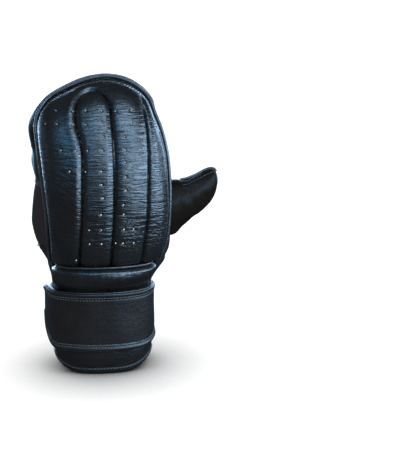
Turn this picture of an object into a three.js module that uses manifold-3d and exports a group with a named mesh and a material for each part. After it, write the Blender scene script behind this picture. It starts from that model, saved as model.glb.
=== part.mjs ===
// Bag glove for the left hand, standing on its cuff.
// Millimetres; +Z to the fingertips, -Y to the back of the hand, +X to the thumb.
import * as THREE from 'three';
import { mergeVertices } from 'three/addons/utils/BufferGeometryUtils.js';
import Module from 'manifold-3d';

// Main sizes of the hand part, which begins at the wrist seam
const WRIST_SEAM = 96;
const HAND_HEIGHT = 161.5;
const FIST_HALF = 61;
const SEAM_SET = 12.5;
const BACK_DEPTH = 38;
const PALM_DEPTH = 45;
const SWELL = 22;
const TOP_SWELL = 9;

// Padding and leather
const PAD_THICK = 20;
const PAD_EDGE = 4;
const GROOVE_DEPTH = 4;
const GROOVE_WIDTH = 9;
const CAP_RISE = 8;
const CAP_THICK = 9;
const BAR_RISE = 12;
const BAR_HEIGHT = 24;
const BAR_THICK = 13;
const LEATHER = 2.5;
const MESH_THICK = 2;
const WELT_HEIGHT = 4;
const ROLL_RISE = 5;
const ROLL_THICK = 10;

// Piping beads, and the clearance between pieces that touch
const BEAD = 1.7;
const FINE_BEAD = 1.1;
const GAP = 0.3;
const BEAD_SET_BACK = 0.8;
const ROLL_BEAD_SET = 1.6;
const MESH_BEAD_SET = 0.2;
const SEAM_HALF_GAP = 0.36;
const SEAM_SPLIT = 0.2;
const BINDING_CLEAR = FINE_BEAD + GAP + 0.15;
const SEAM_BEAD_END = 0.008;    // share of the seam left free at each end of its bead
const ROLL_BEAD_END = 0.10;     // angle phi left free at each end of the roll's bead
const MESH_BEAD_END = 0.16;
const PAD_FOOT = 0.8;           // shares of the bead's clearance that the pad and the roll keep from it
const ROLL_HEAD = 0.6;

// How far relief stands up or is drawn in
const FOOT_TUCK = 3.5;
const ROLL_TUCK = 2.5;
const SEAM_DRAW = 1;
const WELT_DRAW = 0.4;
const MESH_DRAW = 0.9;
const CAP_RUN = 16;
const CAP_LEAD = 4;
const HEEL_RISE = 3;

// Cuff, its bound rim and its slit
const CUFF_TOP = 61.7;
const CUFF_HALF_WIDTH = 44;
const CUFF_HALF_DEPTH = 33.2;
const CUFF_SHIFT = 1.2;
const CUFF_THICK = 3.5;
const CUFF_SQUARENESS = 2.3;
const RIM_SHARE = 0.945;
const RIM_HEIGHT = 6;
const RIM_PROUD = 0.7;
const RIM_SIDE_RISE = 10.5;
const RIM_SLIT_RISE = 7;
const RIM_FLAT_DEG = 12;
const RIM_PALM_DEG = { flat: 142, raised: 104 };   // where the rim comes down to the palm lobes
const RIM_SLIT_DEG = { flat: 22, raised: 4 };
const SLIT_X = -7;
const SLIT_TOP = 87.5;
const SLIT_GAP = 3.2;
const SLIT_MOUTH = 10;
const SLIT_BAND = 5.2;
const SLIT_BAND_THICK = 1.2;
const SLIT_BAND_OVER = 0.75;   // share of the band's width that it keeps over the slit's top

// Strap that closes the cuff
const STRAP_BOTTOM = 22;
const STRAP_WIDTH = 52;
const STRAP_THICK = 2.4;
const STRAP_BORDER = 5;
const STRAP_BORDER_RISE = 0.5;
const STRAP_START_DEG = 298;
const STRAP_END_DEG = -84;
const STRAP_CORNER = 26;
const STRAP_TOP_CORNER = 3;
const STRAP_SET = 0.1;
const BORDER_SLOPE = 1.5;
const STRAP_FLARE = 1;
const STRAP_SIDE_RISE = 5;
const STRAP_SIDE_SPAN = 24;   // degrees either way over which the strap's lower edge rises at each side

// Thumb
const THUMB_REACH = 47;
const THUMB_HEIGHT = 50;
const THUMB_DEPTH = 34;
const THUMB_WALL = 2.5;
const THUMB_BEAD_SET = 0.3;
const THUMB_CLEAR = 0.6;
const THUMB_BEAD_SPAN = { start: 0.30, end: 0.95 };   // shares of THUMB_REACH
const THUMB_SEAM_SHARE = 0.82;   // where along the seam the thumb leaves the hand
const THUMB_ROOT = { shell: -0.10, hollow: -0.20, opening: -0.22 };   // shares of THUMB_REACH

const STRAP_TOP = STRAP_BOTTOM + STRAP_WIDTH;
const ABOVE_STRAP = STRAP_TOP + 1;
const DEGREE = Math.PI / 180;

// A table of rows whose columns have names
const table = (names, rows) => rows.map(
  (row) => Object.fromEntries(names.map((name, i) => [name, row[i]])));

// Seam round the back pad, from the little finger's side of the wrist over the fingertips to the thumb's.
// across: share of FIST_HALF, up: share of HAND_HEIGHT, set: share of SEAM_SET
const SEAM = table(['across', 'up', 'set'], [
  [-0.715, 0.000, -0.96],
  [-0.728, 0.142, -1.00],
  [-0.748, 0.303, -1.00],
  [-0.797, 0.495, -0.72],
  [-0.844, 0.663, -0.36],
  [-0.859, 0.755, 0.00],
  [-0.805, 0.824, 0.24],
  [-0.672, 0.888, 0.52],
  [-0.426, 0.941, 0.68],
  [-0.131, 0.985, 0.88],
  [0.131, 1.000, 0.96],
  [0.361, 0.988, 0.88],
  [0.574, 0.950, 0.72],
  [0.738, 0.892, 0.52],
  [0.836, 0.799, 0.28],
  [0.931, 0.700, 0.04],
  [0.998, 0.582, -0.20],
  [1.023, 0.458, -0.40],
  [1.023, 0.316, -0.60],
  [0.984, 0.149, -0.80],
  [0.920, 0.062, -0.92],
  [0.842, 0.000, -1.00],
]);
const LEFT_SHARE = 0.30;   // where along the seam the side ends and the fingertip arc begins
const RIGHT_SHARE = 0.70;

// Depth of the back and the palm, and how far the palm leather swells past the seam.
// up: share of the hand's height; back, palm: shares of their depths; little, thumb: shares of SWELL
const SECTIONS = table(['up', 'back', 'palm', 'little', 'thumb'], [
  [0.00, 0.71, 1.00, 0.55, 0.80],
  [0.10, 0.80, 0.955, 0.98, 0.70],
  [0.25, 0.90, 0.855, 1.20, 0.48],
  [0.35, 0.95, 0.80, 1.12, 0.42],
  [0.45, 0.98, 0.755, 0.96, 0.40],
  [0.55, 1.00, 0.70, 0.78, 0.36],
  [0.68, 1.00, 0.655, 0.80, 0.28],
  [0.83, 1.00, 0.645, 0.71, 0.24],
  [0.93, 1.00, 0.645, 0.50, 0.24],
  [1.00, 1.00, 0.645, 0.40, 0.24],
]);
const BACK_CLOSING = 4;
const PALM_CLOSING = 6;
const BACK_FULLNESS = 2.3;
const PALM_FULLNESS = 2.2;

// Grooves between the ribs of the back pad, from the wrist up.
// up: share of HAND_HEIGHT; first, second, third: places across as shares of FIST_HALF
const GROOVES = table(['up', 'first', 'second', 'third'], [
  [0.00, -0.300, 0.155, 0.590],
  [0.08, -0.280, 0.175, 0.625],
  [0.26, -0.234, 0.215, 0.685],
  [0.46, -0.211, 0.233, 0.712],
  [0.60, -0.205, 0.232, 0.718],
  [0.68, -0.232, 0.225, 0.716],
  [0.74, -0.277, 0.213, 0.708],
  [0.81, -0.300, 0.200, 0.685],
  [0.895, -0.300, 0.200, 0.634],
]);
const ARCH_FOOT = 0.81;
const ARCH_TOP = 0.94;
const GROOVE_END = 0.9;

// Lower edge of the palm mesh. across: share of the way from the little finger's seam to the thumb's;
// up: share of HAND_HEIGHT
const MESH_EDGE = table(['across', 'up'], [
  [0.00, 0.080],
  [0.20, 0.093],
  [0.45, 0.111],
  [0.62, 0.122],
  [0.74, 0.145],
  [0.82, 0.200],
  [0.87, 0.290],
  [0.92, 0.375],
  [1.00, 0.455],
]);

// Slanting seams of the grip bar at the little finger's side and at the thumb's, as shares of HAND_HEIGHT
const CAP_SEAM = { little: 0.580, thumb: 0.775 };

// Sections of the thumb from its root to its tip. out: share of THUMB_REACH past the seam;
// mid, half: shares of THUMB_HEIGHT above the wrist seam; back: share of THUMB_DEPTH; deep: half depth share
const THUMB = table(['out', 'mid', 'half', 'back', 'deep'], [
  [-0.22, 0.83, 0.54, 0.36, 0.50],
  [0.08, 0.90, 0.49, 0.38, 0.50],
  [0.31, 0.975, 0.415, 0.46, 0.47],
  [0.55, 1.085, 0.37, 0.58, 0.44],
  [0.74, 1.18, 0.35, 0.72, 0.40],
  [0.88, 1.26, 0.295, 0.80, 0.33],
  [0.96, 1.31, 0.20, 0.84, 0.23],
  [1.00, 1.33, 0.07, 0.86, 0.08],
]);

const wasm = await Module();
wasm.setup();

const across = (phi) => (1 - Math.cos(phi)) / 2;
const clamp = (value, low, high) => Math.min(Math.max(value, low), high);
const lerp = (a, b, t) => a + (b - a) * t;
const smooth = (low, high, value) => {
  const t = clamp((value - low) / (high - low), 0, 1);
  return t * t * (3 - 2 * t);
};

// Value of a table's column at a place in its first column, on a monotone curve through the rows
function look(rows, key, column, at) {
  let i = 0;
  while (i < rows.length - 2 && at > rows[i + 1][key]) i += 1;
  const slope = (k) => {
    const a = rows[Math.max(k - 1, 0)];
    const b = rows[Math.min(k + 1, rows.length - 1)];
    return (b[column] - a[column]) / (b[key] - a[key]);
  };
  const span = rows[i + 1][key] - rows[i][key];
  const t = clamp((at - rows[i][key]) / span, 0, 1);
  const from = rows[i][column];
  const to = rows[i + 1][column];
  const start = slope(i) * span;
  const end = slope(i + 1) * span;
  return from + start * t + (3 * (to - from) - 2 * start - end) * t * t
    + (2 * (from - to) + start + end) * t * t * t;
}

const seamCurve = new THREE.CatmullRomCurve3(SEAM.map((row) => new THREE.Vector3(
  row.across * FIST_HALF, row.set * SEAM_SET, WRIST_SEAM + row.up * HAND_HEIGHT)));
seamCurve.arcLengthDivisions = 600;

// Panel edge beside the seam, moved in from the bead's centre
const EDGE_INSET = BEAD + GAP + 0.05;
function seamEdge(share) {
  const point = seamCurve.getPointAt(clamp(share, 0, 1));
  const along = seamCurve.getTangentAt(clamp(share, 0, 1));
  const size = Math.hypot(along.x, along.z);
  point.x += EDGE_INSET * along.z / size;
  point.z -= EDGE_INSET * along.x / size;
  return point;
}

const CORNERS = [0, 1, LEFT_SHARE, RIGHT_SHARE].map(seamEdge);

// Middle sheet of the hand, blended from its four edges; u runs from the little finger to the thumb
function sheet(u, v) {
  const sides = seamEdge(v * LEFT_SHARE).multiplyScalar(1 - u)
    .addScaledVector(seamEdge(1 - v * (1 - RIGHT_SHARE)), u);
  const ends = CORNERS[0].clone().lerp(CORNERS[1], u).multiplyScalar(1 - v)
    .addScaledVector(seamEdge(lerp(LEFT_SHARE, RIGHT_SHARE, u)), v);
  const low = CORNERS[0].clone().lerp(CORNERS[1], u);
  const high = CORNERS[2].clone().lerp(CORNERS[3], u);
  return sides.add(ends).sub(low.lerp(high, v));
}

// Outline of the cuff at a height: angle 0 at the back of the hand, 90 at the thumb, 180 at the palm
function ring(degrees, height, proud = 0) {
  const narrowing = lerp(RIM_SHARE, 1, smooth(0, STRAP_BOTTOM - 1, height));
  const power = 2 / CUFF_SQUARENESS;
  const sine = Math.sin(degrees * DEGREE);
  const cosine = Math.cos(degrees * DEGREE);
  return new THREE.Vector3(
    CUFF_SHIFT + (CUFF_HALF_WIDTH * narrowing + proud) * Math.sign(sine) * Math.abs(sine) ** power,
    -(CUFF_HALF_DEPTH * narrowing + proud) * Math.sign(cosine) * Math.abs(cosine) ** power,
    height,
  );
}

const SIDE_LITTLE = -78;
const SIDE_THUMB = 72;
const SIDE_SPLIT = 0.35;   // degrees between the back's edge and the palm's below the wrist seam

// Back of the hand (side -1) or palm (side 1). phi: 0 at the little finger's seam, PI at the thumb's
function skin(side, phi, v) {
  if (v < 0) return wristSkin(side, phi, v);
  const at = sheet(across(phi), v);
  const column = side < 0 ? 'back' : 'palm';
  const depth = look(SECTIONS, 'up', column, v) * (side < 0 ? BACK_DEPTH : PALM_DEPTH);
  const closing = Math.sqrt(Math.max(0, 1 - v ** (side < 0 ? BACK_CLOSING : PALM_CLOSING)));
  const power = 2 / (side < 0 ? BACK_FULLNESS : PALM_FULLNESS);
  at.y += side * (SEAM_SPLIT + depth * closing * Math.max(Math.sin(phi), 0) ** power);
  if (side > 0) {
    const swell = SWELL * look(SECTIONS, 'up', phi < Math.PI / 2 ? 'little' : 'thumb', v);
    at.x -= swell * Math.sin(2 * phi) * closing;
    at.z += 2 * TOP_SWELL * closing * Math.sqrt(1 - closing * closing) * Math.sin(phi);
  }
  return at;
}

// Below the wrist seam the skin runs into the outline of the cuff
function wristSkin(side, phi, v) {
  const height = WRIST_SEAM + v * HAND_HEIGHT;
  const share = phi / Math.PI;
  const turn = side < 0
    ? lerp(SIDE_LITTLE + SIDE_SPLIT, SIDE_THUMB - SIDE_SPLIT, share)
    : lerp(360 + SIDE_LITTLE - SIDE_SPLIT, SIDE_THUMB + SIDE_SPLIT, share);
  const blend = smooth(ABOVE_STRAP, WRIST_SEAM, height);
  const point = ring(turn, height).lerp(skin(side, phi, 0), blend);
  point.z = height;
  return point;
}

// Outward direction of the skin, taken a little inside its edges where the sheet's lines run together
function outward(side, phi, v) {
  const inside = 0.05 + 0.22 * clamp(v, 0, 1) ** 4;
  const p = clamp(phi, inside, Math.PI - inside);
  const w = Math.min(v, 0.975);
  const step = 0.004;
  const over = skin(side, p + step, w).sub(skin(side, p - step, w));
  const up = skin(side, p, w + step).sub(skin(side, p, w - step));
  return over.cross(up).multiplyScalar(-side).normalize();
}

// Closed solid between two grids of points with the same rows and columns
function between(outer, inner) {
  const rows = outer.length;
  const columns = outer[0].length;
  const points = [...outer.flat(), ...inner.flat()];
  const half = rows * columns;
  const faces = [];
  const quad = (a, b, c, d) => {
    if (points[a].distanceTo(points[c]) <= points[b].distanceTo(points[d])) faces.push(a, b, c, a, c, d);
    else faces.push(a, b, d, b, c, d);
  };
  const at = (i, j, layer) => layer * half + i * columns + j;
  for (let i = 0; i < rows - 1; i += 1) {
    for (let j = 0; j < columns - 1; j += 1) {
      quad(at(i, j, 0), at(i, j + 1, 0), at(i + 1, j + 1, 0), at(i + 1, j, 0));
      quad(at(i + 1, j, 1), at(i + 1, j + 1, 1), at(i, j + 1, 1), at(i, j, 1));
    }
    quad(at(i, 0, 0), at(i + 1, 0, 0), at(i + 1, 0, 1), at(i, 0, 1));
    quad(at(i, columns - 1, 1), at(i + 1, columns - 1, 1), at(i + 1, columns - 1, 0), at(i, columns - 1, 0));
  }
  for (let j = 0; j < columns - 1; j += 1) {
    quad(at(0, j, 1), at(0, j + 1, 1), at(0, j + 1, 0), at(0, j, 0));
    quad(at(rows - 1, j, 0), at(rows - 1, j + 1, 0), at(rows - 1, j + 1, 1), at(rows - 1, j, 1));
  }
  return facingOut(points, faces);
}

// Closed solid through a list of rings, with a point at each end
function through(rings) {
  const sides = rings[0].length;
  const points = rings.flat();
  const faces = [];
  for (let i = 0; i < rings.length - 1; i += 1) {
    for (let j = 0; j < sides; j += 1) {
      const a = i * sides + j;
      const b = i * sides + (j + 1) % sides;
      faces.push(a, b, b + sides, a, b + sides, a + sides);
    }
  }
  for (const [row, turned] of [[0, true], [rings.length - 1, false]]) {
    const centre = rings[row].reduce((sum, p) => sum.add(p), new THREE.Vector3()).divideScalar(sides);
    points.push(centre);
    for (let j = 0; j < sides; j += 1) {
      const a = row * sides + j;
      const b = row * sides + (j + 1) % sides;
      faces.push(...(turned ? [b, a, points.length - 1] : [a, b, points.length - 1]));
    }
  }
  return facingOut(points, faces);
}

// Geometry of points and faces, turned so that its volume is positive
function facingOut(points, faces) {
  let volume = 0;
  for (let i = 0; i < faces.length; i += 3) {
    const [a, b, c] = [faces[i], faces[i + 1], faces[i + 2]].map((k) => points[k]);
    volume += a.dot(b.clone().cross(c));
  }
  const geometry = new THREE.BufferGeometry();
  geometry.setAttribute('position', new THREE.Float32BufferAttribute(points.flatMap((p) => p.toArray()), 3));
  geometry.setIndex(volume > 0 ? faces : faces.reverse());
  return geometry;
}

function solid(geometry) {
  const bare = geometry.clone();
  bare.deleteAttribute('normal');
  bare.deleteAttribute('uv');
  const merged = mergeVertices(bare, 1e-4);
  return new wasm.Manifold(new wasm.Mesh({
    numProp: 3,
    vertProperties: Float32Array.from(merged.attributes.position.array),
    triVerts: Uint32Array.from(merged.index.array),
  }));
}

function faceted(body) {
  const mesh = body.getMesh();
  const geometry = new THREE.BufferGeometry();
  geometry.setAttribute('position', new THREE.BufferAttribute(mesh.vertProperties, 3));
  geometry.setIndex(new THREE.BufferAttribute(mesh.triVerts, 1));
  return geometry;
}

// Keep a point of a panel on its own side of the sheet between the back and the palm
function onSide(side, phi, v, point) {
  if (v < 0) return point;
  const limit = sheet(across(phi), v).y + side * SEAM_SPLIT;
  point.y = side < 0 ? Math.min(point.y, limit) : Math.max(point.y, limit);
  return point;
}

// Rows of a panel whose foot is hidden: KNEE_ROWS of them up to the knee, and the others above it
const KNEE_ROWS = 2;
function kneeRow(i, rows, knee, low, high) {
  const bend = (knee - WRIST_SEAM) / HAND_HEIGHT;
  if (i <= KNEE_ROWS) return lerp(low, bend, i / KNEE_ROWS);
  return lerp(bend, high, (i - KNEE_ROWS) / (rows - KNEE_ROWS));
}

// A panel of the skin. bottom and top give its rows for a share across; relief lifts its outer face
// and wall is its thickness, both from phi and v. knee is a height at which a whole row lies, place
// puts a column at another phi, and spread shares out the rows
function panel(side, { bottom, top, columns, rows, relief, wall, spread = (t) => t, place, knee }) {
  const outer = [];
  const inner = [];
  for (let i = 0; i <= rows; i += 1) {
    const outerRow = [];
    const innerRow = [];
    for (let j = 0; j <= columns; j += 1) {
      let phi = Math.PI * j / columns;
      const u = across(phi);
      const [low, high] = [bottom(u), top(u)];
      const v = knee ? kneeRow(i, rows, knee, low, high) : lerp(low, high, spread(i / rows));
      if (place) phi = place(j, v);
      const at = skin(side, phi, v);
      const out = outward(side, phi, v);
      outerRow.push(onSide(side, phi, v, at.clone().addScaledVector(out, relief(phi, v))));
      innerRow.push(onSide(side, phi, v, at.addScaledVector(out, -wall(phi, v))));
    }
    outer.push(outerRow);
    inner.push(innerRow);
  }
  return between(outer, inner);
}

// Row of the palm at which a column reaches a height
function rowAt(u, height) {
  let low = -0.3;
  let high = 1;
  for (let k = 0; k < 30; k += 1) {
    const mid = (low + high) / 2;
    const z = mid < 0 ? WRIST_SEAM + mid * HAND_HEIGHT : sheet(u, mid).z;
    if (z < height) low = mid;
    else high = mid;
  }
  return (low + high) / 2;
}

// Row beside a seam that crosses the palm, a clear distance above it, or below it if negative
function beside(seam, u, distance) {
  const step = 0.01;
  const rise = seam(u + step) - seam(u - step);
  const run = 2 * step * 2 * FIST_HALF;
  return rowAt(u, seam(u) + distance * Math.hypot(1, rise / run));
}

// Tube of a round section along points of a smooth path
function bead(points, radius, steps, sides) {
  const section = new THREE.Shape();
  for (let k = 0; k < sides; k += 1) {
    const turn = 2 * Math.PI * k / sides;
    const [x, y] = [radius * Math.cos(turn), radius * Math.sin(turn)];
    if (k) section.lineTo(x, y);
    else section.moveTo(x, y);
  }
  section.closePath();
  return new THREE.ExtrudeGeometry(section, {
    extrudePath: new THREE.CatmullRomCurve3(points), steps, bevelEnabled: false, curveSegments: 1,
  });
}

const samples = (count, make) => Array.from({ length: count + 1 }, (_, i) => make(i / count));

// Grooves and the arch over the second rib, as points across and up in millimetres
const grooveX = (name, z) => look(GROOVES, 'up', name, (z - WRIST_SEAM) / HAND_HEIGHT) * FIST_HALF;
const heightAt = (share) => WRIST_SEAM + share * HAND_HEIGHT;

// Distance from a place on the back to the nearest groove
function toGroove(x, z) {
  const footZ = heightAt(ARCH_FOOT);
  const [left, right] = [grooveX('first', footZ), grooveX('second', footZ)];
  const third = Math.abs(x - grooveX('third', z)) + 1.5 * Math.max(0, z - heightAt(GROOVE_END));
  if (z <= footZ) {
    return Math.min(Math.abs(x - grooveX('first', z)), Math.abs(x - grooveX('second', z)), third);
  }
  const middle = (left + right) / 2;
  const reach = (right - left) / 2;
  const rise = heightAt(ARCH_TOP) - footZ;
  const ringed = Math.hypot((x - middle) / reach, (z - footZ) / rise);
  return Math.min(Math.abs(ringed - 1) * (reach + rise) / 2, third);
}

const EDGE_FADE = 0.35;   // angle phi over which grooves fade in from the pad's edges
function backRelief(phi, v) {
  const at = skin(-1, phi, v);
  const near = toGroove(at.x, at.z) / (GROOVE_WIDTH / 2);
  const groove = GROOVE_DEPTH * Math.max(0, 1 - near) ** 1.5;
  const fade = smooth(0, EDGE_FADE, phi) * smooth(0, EDGE_FADE, Math.PI - phi) * smooth(1, 0.97, v);
  return -groove * fade - FOOT_TUCK * (1 - smooth(0, 0.05, v)) ** 2;
}

// Columns of the back pad: grooves lie on columns, and the ribs between them are shared out evenly
const RIB_COLUMNS = [8, 6, 6, 5];
function ribPlace(index, v) {
  const height = sheet(0.5, v).z;
  const stops = [0, ...['first', 'second', 'third'].map((name) => {
    const x = grooveX(name, Math.min(height, heightAt(GROOVE_END)));
    let [low, high] = [0, 1];
    for (let k = 0; k < 24; k += 1) {
      const mid = (low + high) / 2;
      if (sheet(mid, v).x < x) low = mid;
      else high = mid;
    }
    return Math.acos(1 - 2 * low);
  }), Math.PI];
  let left = index;
  let rib = 0;
  while (left > RIB_COLUMNS[rib] || (left === RIB_COLUMNS[rib] && rib < RIB_COLUMNS.length - 1)) {
    left -= RIB_COLUMNS[rib];
    rib += 1;
  }
  const share = across(Math.PI * left / RIB_COLUMNS[rib]);
  return lerp(stops[rib], stops[rib + 1], lerp(left / RIB_COLUMNS[rib], share, 0.6));
}

const towardsTop = (t) => 1 - (1 - t) ** 1.7;
const BEAD_CLEAR = BEAD + GAP;

function backPad() {
  return panel(-1, {
    bottom: () => BEAD_CLEAR * PAD_FOOT / HAND_HEIGHT,
    top: () => 1,
    columns: RIB_COLUMNS.reduce((a, b) => a + b),
    rows: 20,
    spread: towardsTop,
    place: ribPlace,
    relief: backRelief,
    wall: (phi, v) => PAD_EDGE + (PAD_THICK - PAD_EDGE) * Math.sin(phi)
      * Math.sqrt(Math.max(0, 1 - v ** BACK_CLOSING)) * smooth(-0.12, 0.15, v),
  });
}

function padPiping(clear = 0) {
  const path = samples(44, (t) => {
    const point = seamCurve.getPointAt(lerp(SEAM_BEAD_END, 1 - SEAM_BEAD_END, t));
    point.y -= BEAD_SET_BACK;
    return point;
  });
  return bead(path, BEAD + clear, 48, 6);
}

function rollRelief(phi, v) {
  const height = heightAt(v);
  const t = clamp((height - ABOVE_STRAP) / (WRIST_SEAM - ABOVE_STRAP), 0, 1);
  return Math.sin(phi) ** 0.4 * ROLL_RISE * Math.sin(Math.PI * t) ** 0.8 - ROLL_TUCK * smooth(0.85, 1, t);
}

const panelFoot = () => (CUFF_TOP + GAP - WRIST_SEAM) / HAND_HEIGHT;

function wristRoll() {
  return panel(-1, {
    bottom: panelFoot,
    top: () => -BEAD_CLEAR * ROLL_HEAD / HAND_HEIGHT,
    columns: 18,
    rows: 8,
    knee: ABOVE_STRAP,
    relief: rollRelief,
    wall: (phi, v) => LEATHER
      + (ROLL_THICK - ROLL_RISE) * smooth(STRAP_TOP, WRIST_SEAM, heightAt(v)) * Math.sin(phi),
  });
}

function rollPiping() {
  const path = samples(24, (t) => {
    const phi = lerp(ROLL_BEAD_END, Math.PI - ROLL_BEAD_END, t);
    const point = skin(-1, phi, 0.0003);
    return point.addScaledVector(outward(-1, phi, 0.01), -ROLL_BEAD_SET);
  });
  return bead(path, FINE_BEAD, 26, 6);
}

const capSeam = (u) => heightAt(lerp(CAP_SEAM.little, CAP_SEAM.thumb, u));
const barFoot = (u) => capSeam(u) - BAR_HEIGHT;
const weltFoot = (u) => barFoot(u) - WELT_HEIGHT;
const meshEdge = (u) => heightAt(look(MESH_EDGE, 'across', 'up', clamp(u, 0, 1)));

function fingerCap() {
  return panel(1, {
    bottom: (u) => beside(capSeam, u, SEAM_HALF_GAP),
    top: () => 1,
    columns: 18,
    rows: 10,
    spread: towardsTop,
    relief: (phi, v) => {
      const above = sheet(across(phi), v).z - capSeam(across(phi));
      const crown = Math.sin(phi) ** 1.5 * Math.sqrt(Math.max(0, 1 - v ** 8));
      return CAP_RISE * smooth(-CAP_LEAD, CAP_RUN, above) * crown - SEAM_DRAW;
    },
    wall: (phi, v) => LEATHER + (CAP_THICK - LEATHER) * Math.sin(phi) * Math.sqrt(Math.max(0, 1 - v ** 4)),
  });
}

function gripBar() {
  return panel(1, {
    bottom: (u) => beside(barFoot, u, SEAM_HALF_GAP),
    top: (u) => beside(capSeam, u, -SEAM_HALF_GAP),
    columns: 18,
    rows: 6,
    relief: (phi, v) => {
      const u = across(phi);
      const t = clamp((sheet(u, v).z - barFoot(u)) / BAR_HEIGHT, 0, 1);
      return BAR_RISE * Math.sin(Math.PI * t) ** 0.7 * smooth(0.3, 1, Math.sin(phi)) - SEAM_DRAW;
    },
    wall: (phi) => LEATHER + (BAR_THICK - BAR_RISE) * Math.sin(phi),
  });
}

function meshWelt() {
  return panel(1, {
    bottom: (u) => beside(weltFoot, u, SEAM_HALF_GAP),
    top: (u) => beside(barFoot, u, -SEAM_HALF_GAP),
    columns: 18,
    rows: 1,
    relief: () => -WELT_DRAW,
    wall: () => LEATHER,
  });
}

function palmMesh() {
  return panel(1, {
    bottom: (u) => beside(meshEdge, u, BINDING_CLEAR),
    top: (u) => beside(weltFoot, u, -SEAM_HALF_GAP),
    columns: 18,
    rows: 7,
    relief: () => -MESH_DRAW,
    wall: () => MESH_DRAW + MESH_THICK,
  });
}

function meshBinding(clear = 0) {
  const path = samples(30, (t) => {
    const phi = lerp(MESH_BEAD_END, Math.PI - MESH_BEAD_END, t);
    const v = rowAt(across(phi), meshEdge(across(phi)));
    return skin(1, phi, v).addScaledVector(outward(1, phi, v), -MESH_BEAD_SET);
  });
  return bead(path, FINE_BEAD + clear, 32, 6);
}

// Upright slot through the palm side with a round top
function slotCutter(halfWidth, top, low) {
  const shape = new THREE.Shape();
  shape.moveTo(SLIT_X - halfWidth, low);
  shape.lineTo(SLIT_X + halfWidth, low);
  shape.lineTo(SLIT_X + halfWidth, top - halfWidth);
  shape.absarc(SLIT_X, top - halfWidth, halfWidth, 0, Math.PI, false);
  shape.closePath();
  const depth = 2 * PALM_DEPTH;
  const geometry = new THREE.ExtrudeGeometry(shape, { depth, bevelEnabled: false, curveSegments: 6 });
  return geometry.rotateX(Math.PI / 2).translate(0, depth, 0);
}

// The ball of the thumb lies at this share across and spreads over this much of it
const HEEL_PLACE = 0.78;
const HEEL_SPREAD = 0.16;
const heelRelief = (phi, v) => {
  const heel = smooth(0, 0.08, v) * smooth(0.35, 0.12, v);
  return HEEL_RISE * heel * Math.exp(-(((across(phi) - HEEL_PLACE) / HEEL_SPREAD) ** 2));
};

function heelSheet(relief, wall, columns, rows) {
  return panel(1, {
    bottom: panelFoot,
    top: (u) => beside(meshEdge, u, -BINDING_CLEAR),
    columns,
    rows,
    knee: ABOVE_STRAP,
    relief,
    wall,
  });
}

// Thumb shell before it is fitted to the hand, smaller all round by inset
function thumbForm(inset, root) {
  const sides = 16;
  const side = seamCurve.getPointAt(THUMB_SEAM_SHARE).x;
  const rings = samples(13, (t) => {
    const out = t < 1 ? lerp(root, 1, towardsTop(t)) : 1;
    const shrink = out > 0.9 ? inset * 0.6 : inset;
    const value = (name) => look(THUMB, 'out', name, out);
    const half = Math.max(value('half') * THUMB_HEIGHT - shrink, 0.4);
    const deep = Math.max(value('deep') * THUMB_DEPTH - shrink, 0.3);
    const x = side + out * THUMB_REACH - (out > 0.5 ? inset * (out - 0.5) * 2 : 0);
    return Array.from({ length: sides }, (_, k) => {
      const turn = 2 * Math.PI * k / sides;
      return new THREE.Vector3(x, value('back') * THUMB_DEPTH + deep * Math.sin(turn),
        WRIST_SEAM + value('mid') * THUMB_HEIGHT + half * Math.cos(turn));
    });
  });
  return through(rings);
}

// Solid filling of the palm side out to a clear distance over its skin
const FILLING_EDGE = 14;
const FILLING_MIDDLE = 22;
function palmFilling(clear) {
  return panel(1, {
    bottom: panelFoot,
    top: () => 0.97,
    columns: 30,
    rows: 24,
    relief: (phi, v) => clear + heelRelief(phi, v),
    wall: (phi) => lerp(FILLING_EDGE, FILLING_MIDDLE, Math.sin(phi)),
  });
}

function thumbShell() {
  const cutters = [
    thumbForm(THUMB_WALL, THUMB_ROOT.hollow), palmFilling(GAP + THUMB_CLEAR),
    padPiping(GAP), meshBinding(GAP), thumbPiping(GAP),
  ];
  const whole = solid(thumbForm(0, THUMB_ROOT.shell));
  return faceted(largest(cutters.reduce((body, cutter) => body.subtract(solid(cutter)), whole)));
}

function largest(body) {
  return body.decompose().sort((a, b) => b.volume() - a.volume())[0];
}

function heelPanel() {
  const sheetBody = solid(heelSheet(heelRelief, () => LEATHER, 22, 11));
  const slot = solid(slotCutter(SLIT_GAP / 2, SLIT_TOP, CUFF_TOP - GAP));
  const thumbWay = solid(thumbForm(THUMB_WALL, THUMB_ROOT.opening));
  return faceted(largest(sheetBody.subtract(slot).subtract(thumbWay)));
}

function slitBinding() {
  const half = SLIT_GAP / 2;
  const skinBand = solid(heelSheet(
    (phi, v) => heelRelief(phi, v) + GAP + SLIT_BAND_THICK,
    (phi, v) => -heelRelief(phi, v) - GAP,
    22,
    11,
  ));
  const band = solid(slotCutter(half + SLIT_BAND, SLIT_TOP + SLIT_BAND * SLIT_BAND_OVER, ABOVE_STRAP))
    .subtract(solid(slotCutter(half, SLIT_TOP, STRAP_TOP)));
  return faceted(largest(skinBand.intersect(band)));
}

// Angle on the cuff at which a place across is reached on the palm side
function palmAngle(x, height) {
  const reach = Math.abs(x - CUFF_SHIFT) / (ring(90, height).x - CUFF_SHIFT);
  const turn = Math.asin(clamp(reach, 0, 1) ** (CUFF_SQUARENESS / 2)) / DEGREE;
  return 180 + Math.sign(CUFF_SHIFT - x) * turn;
}

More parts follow.
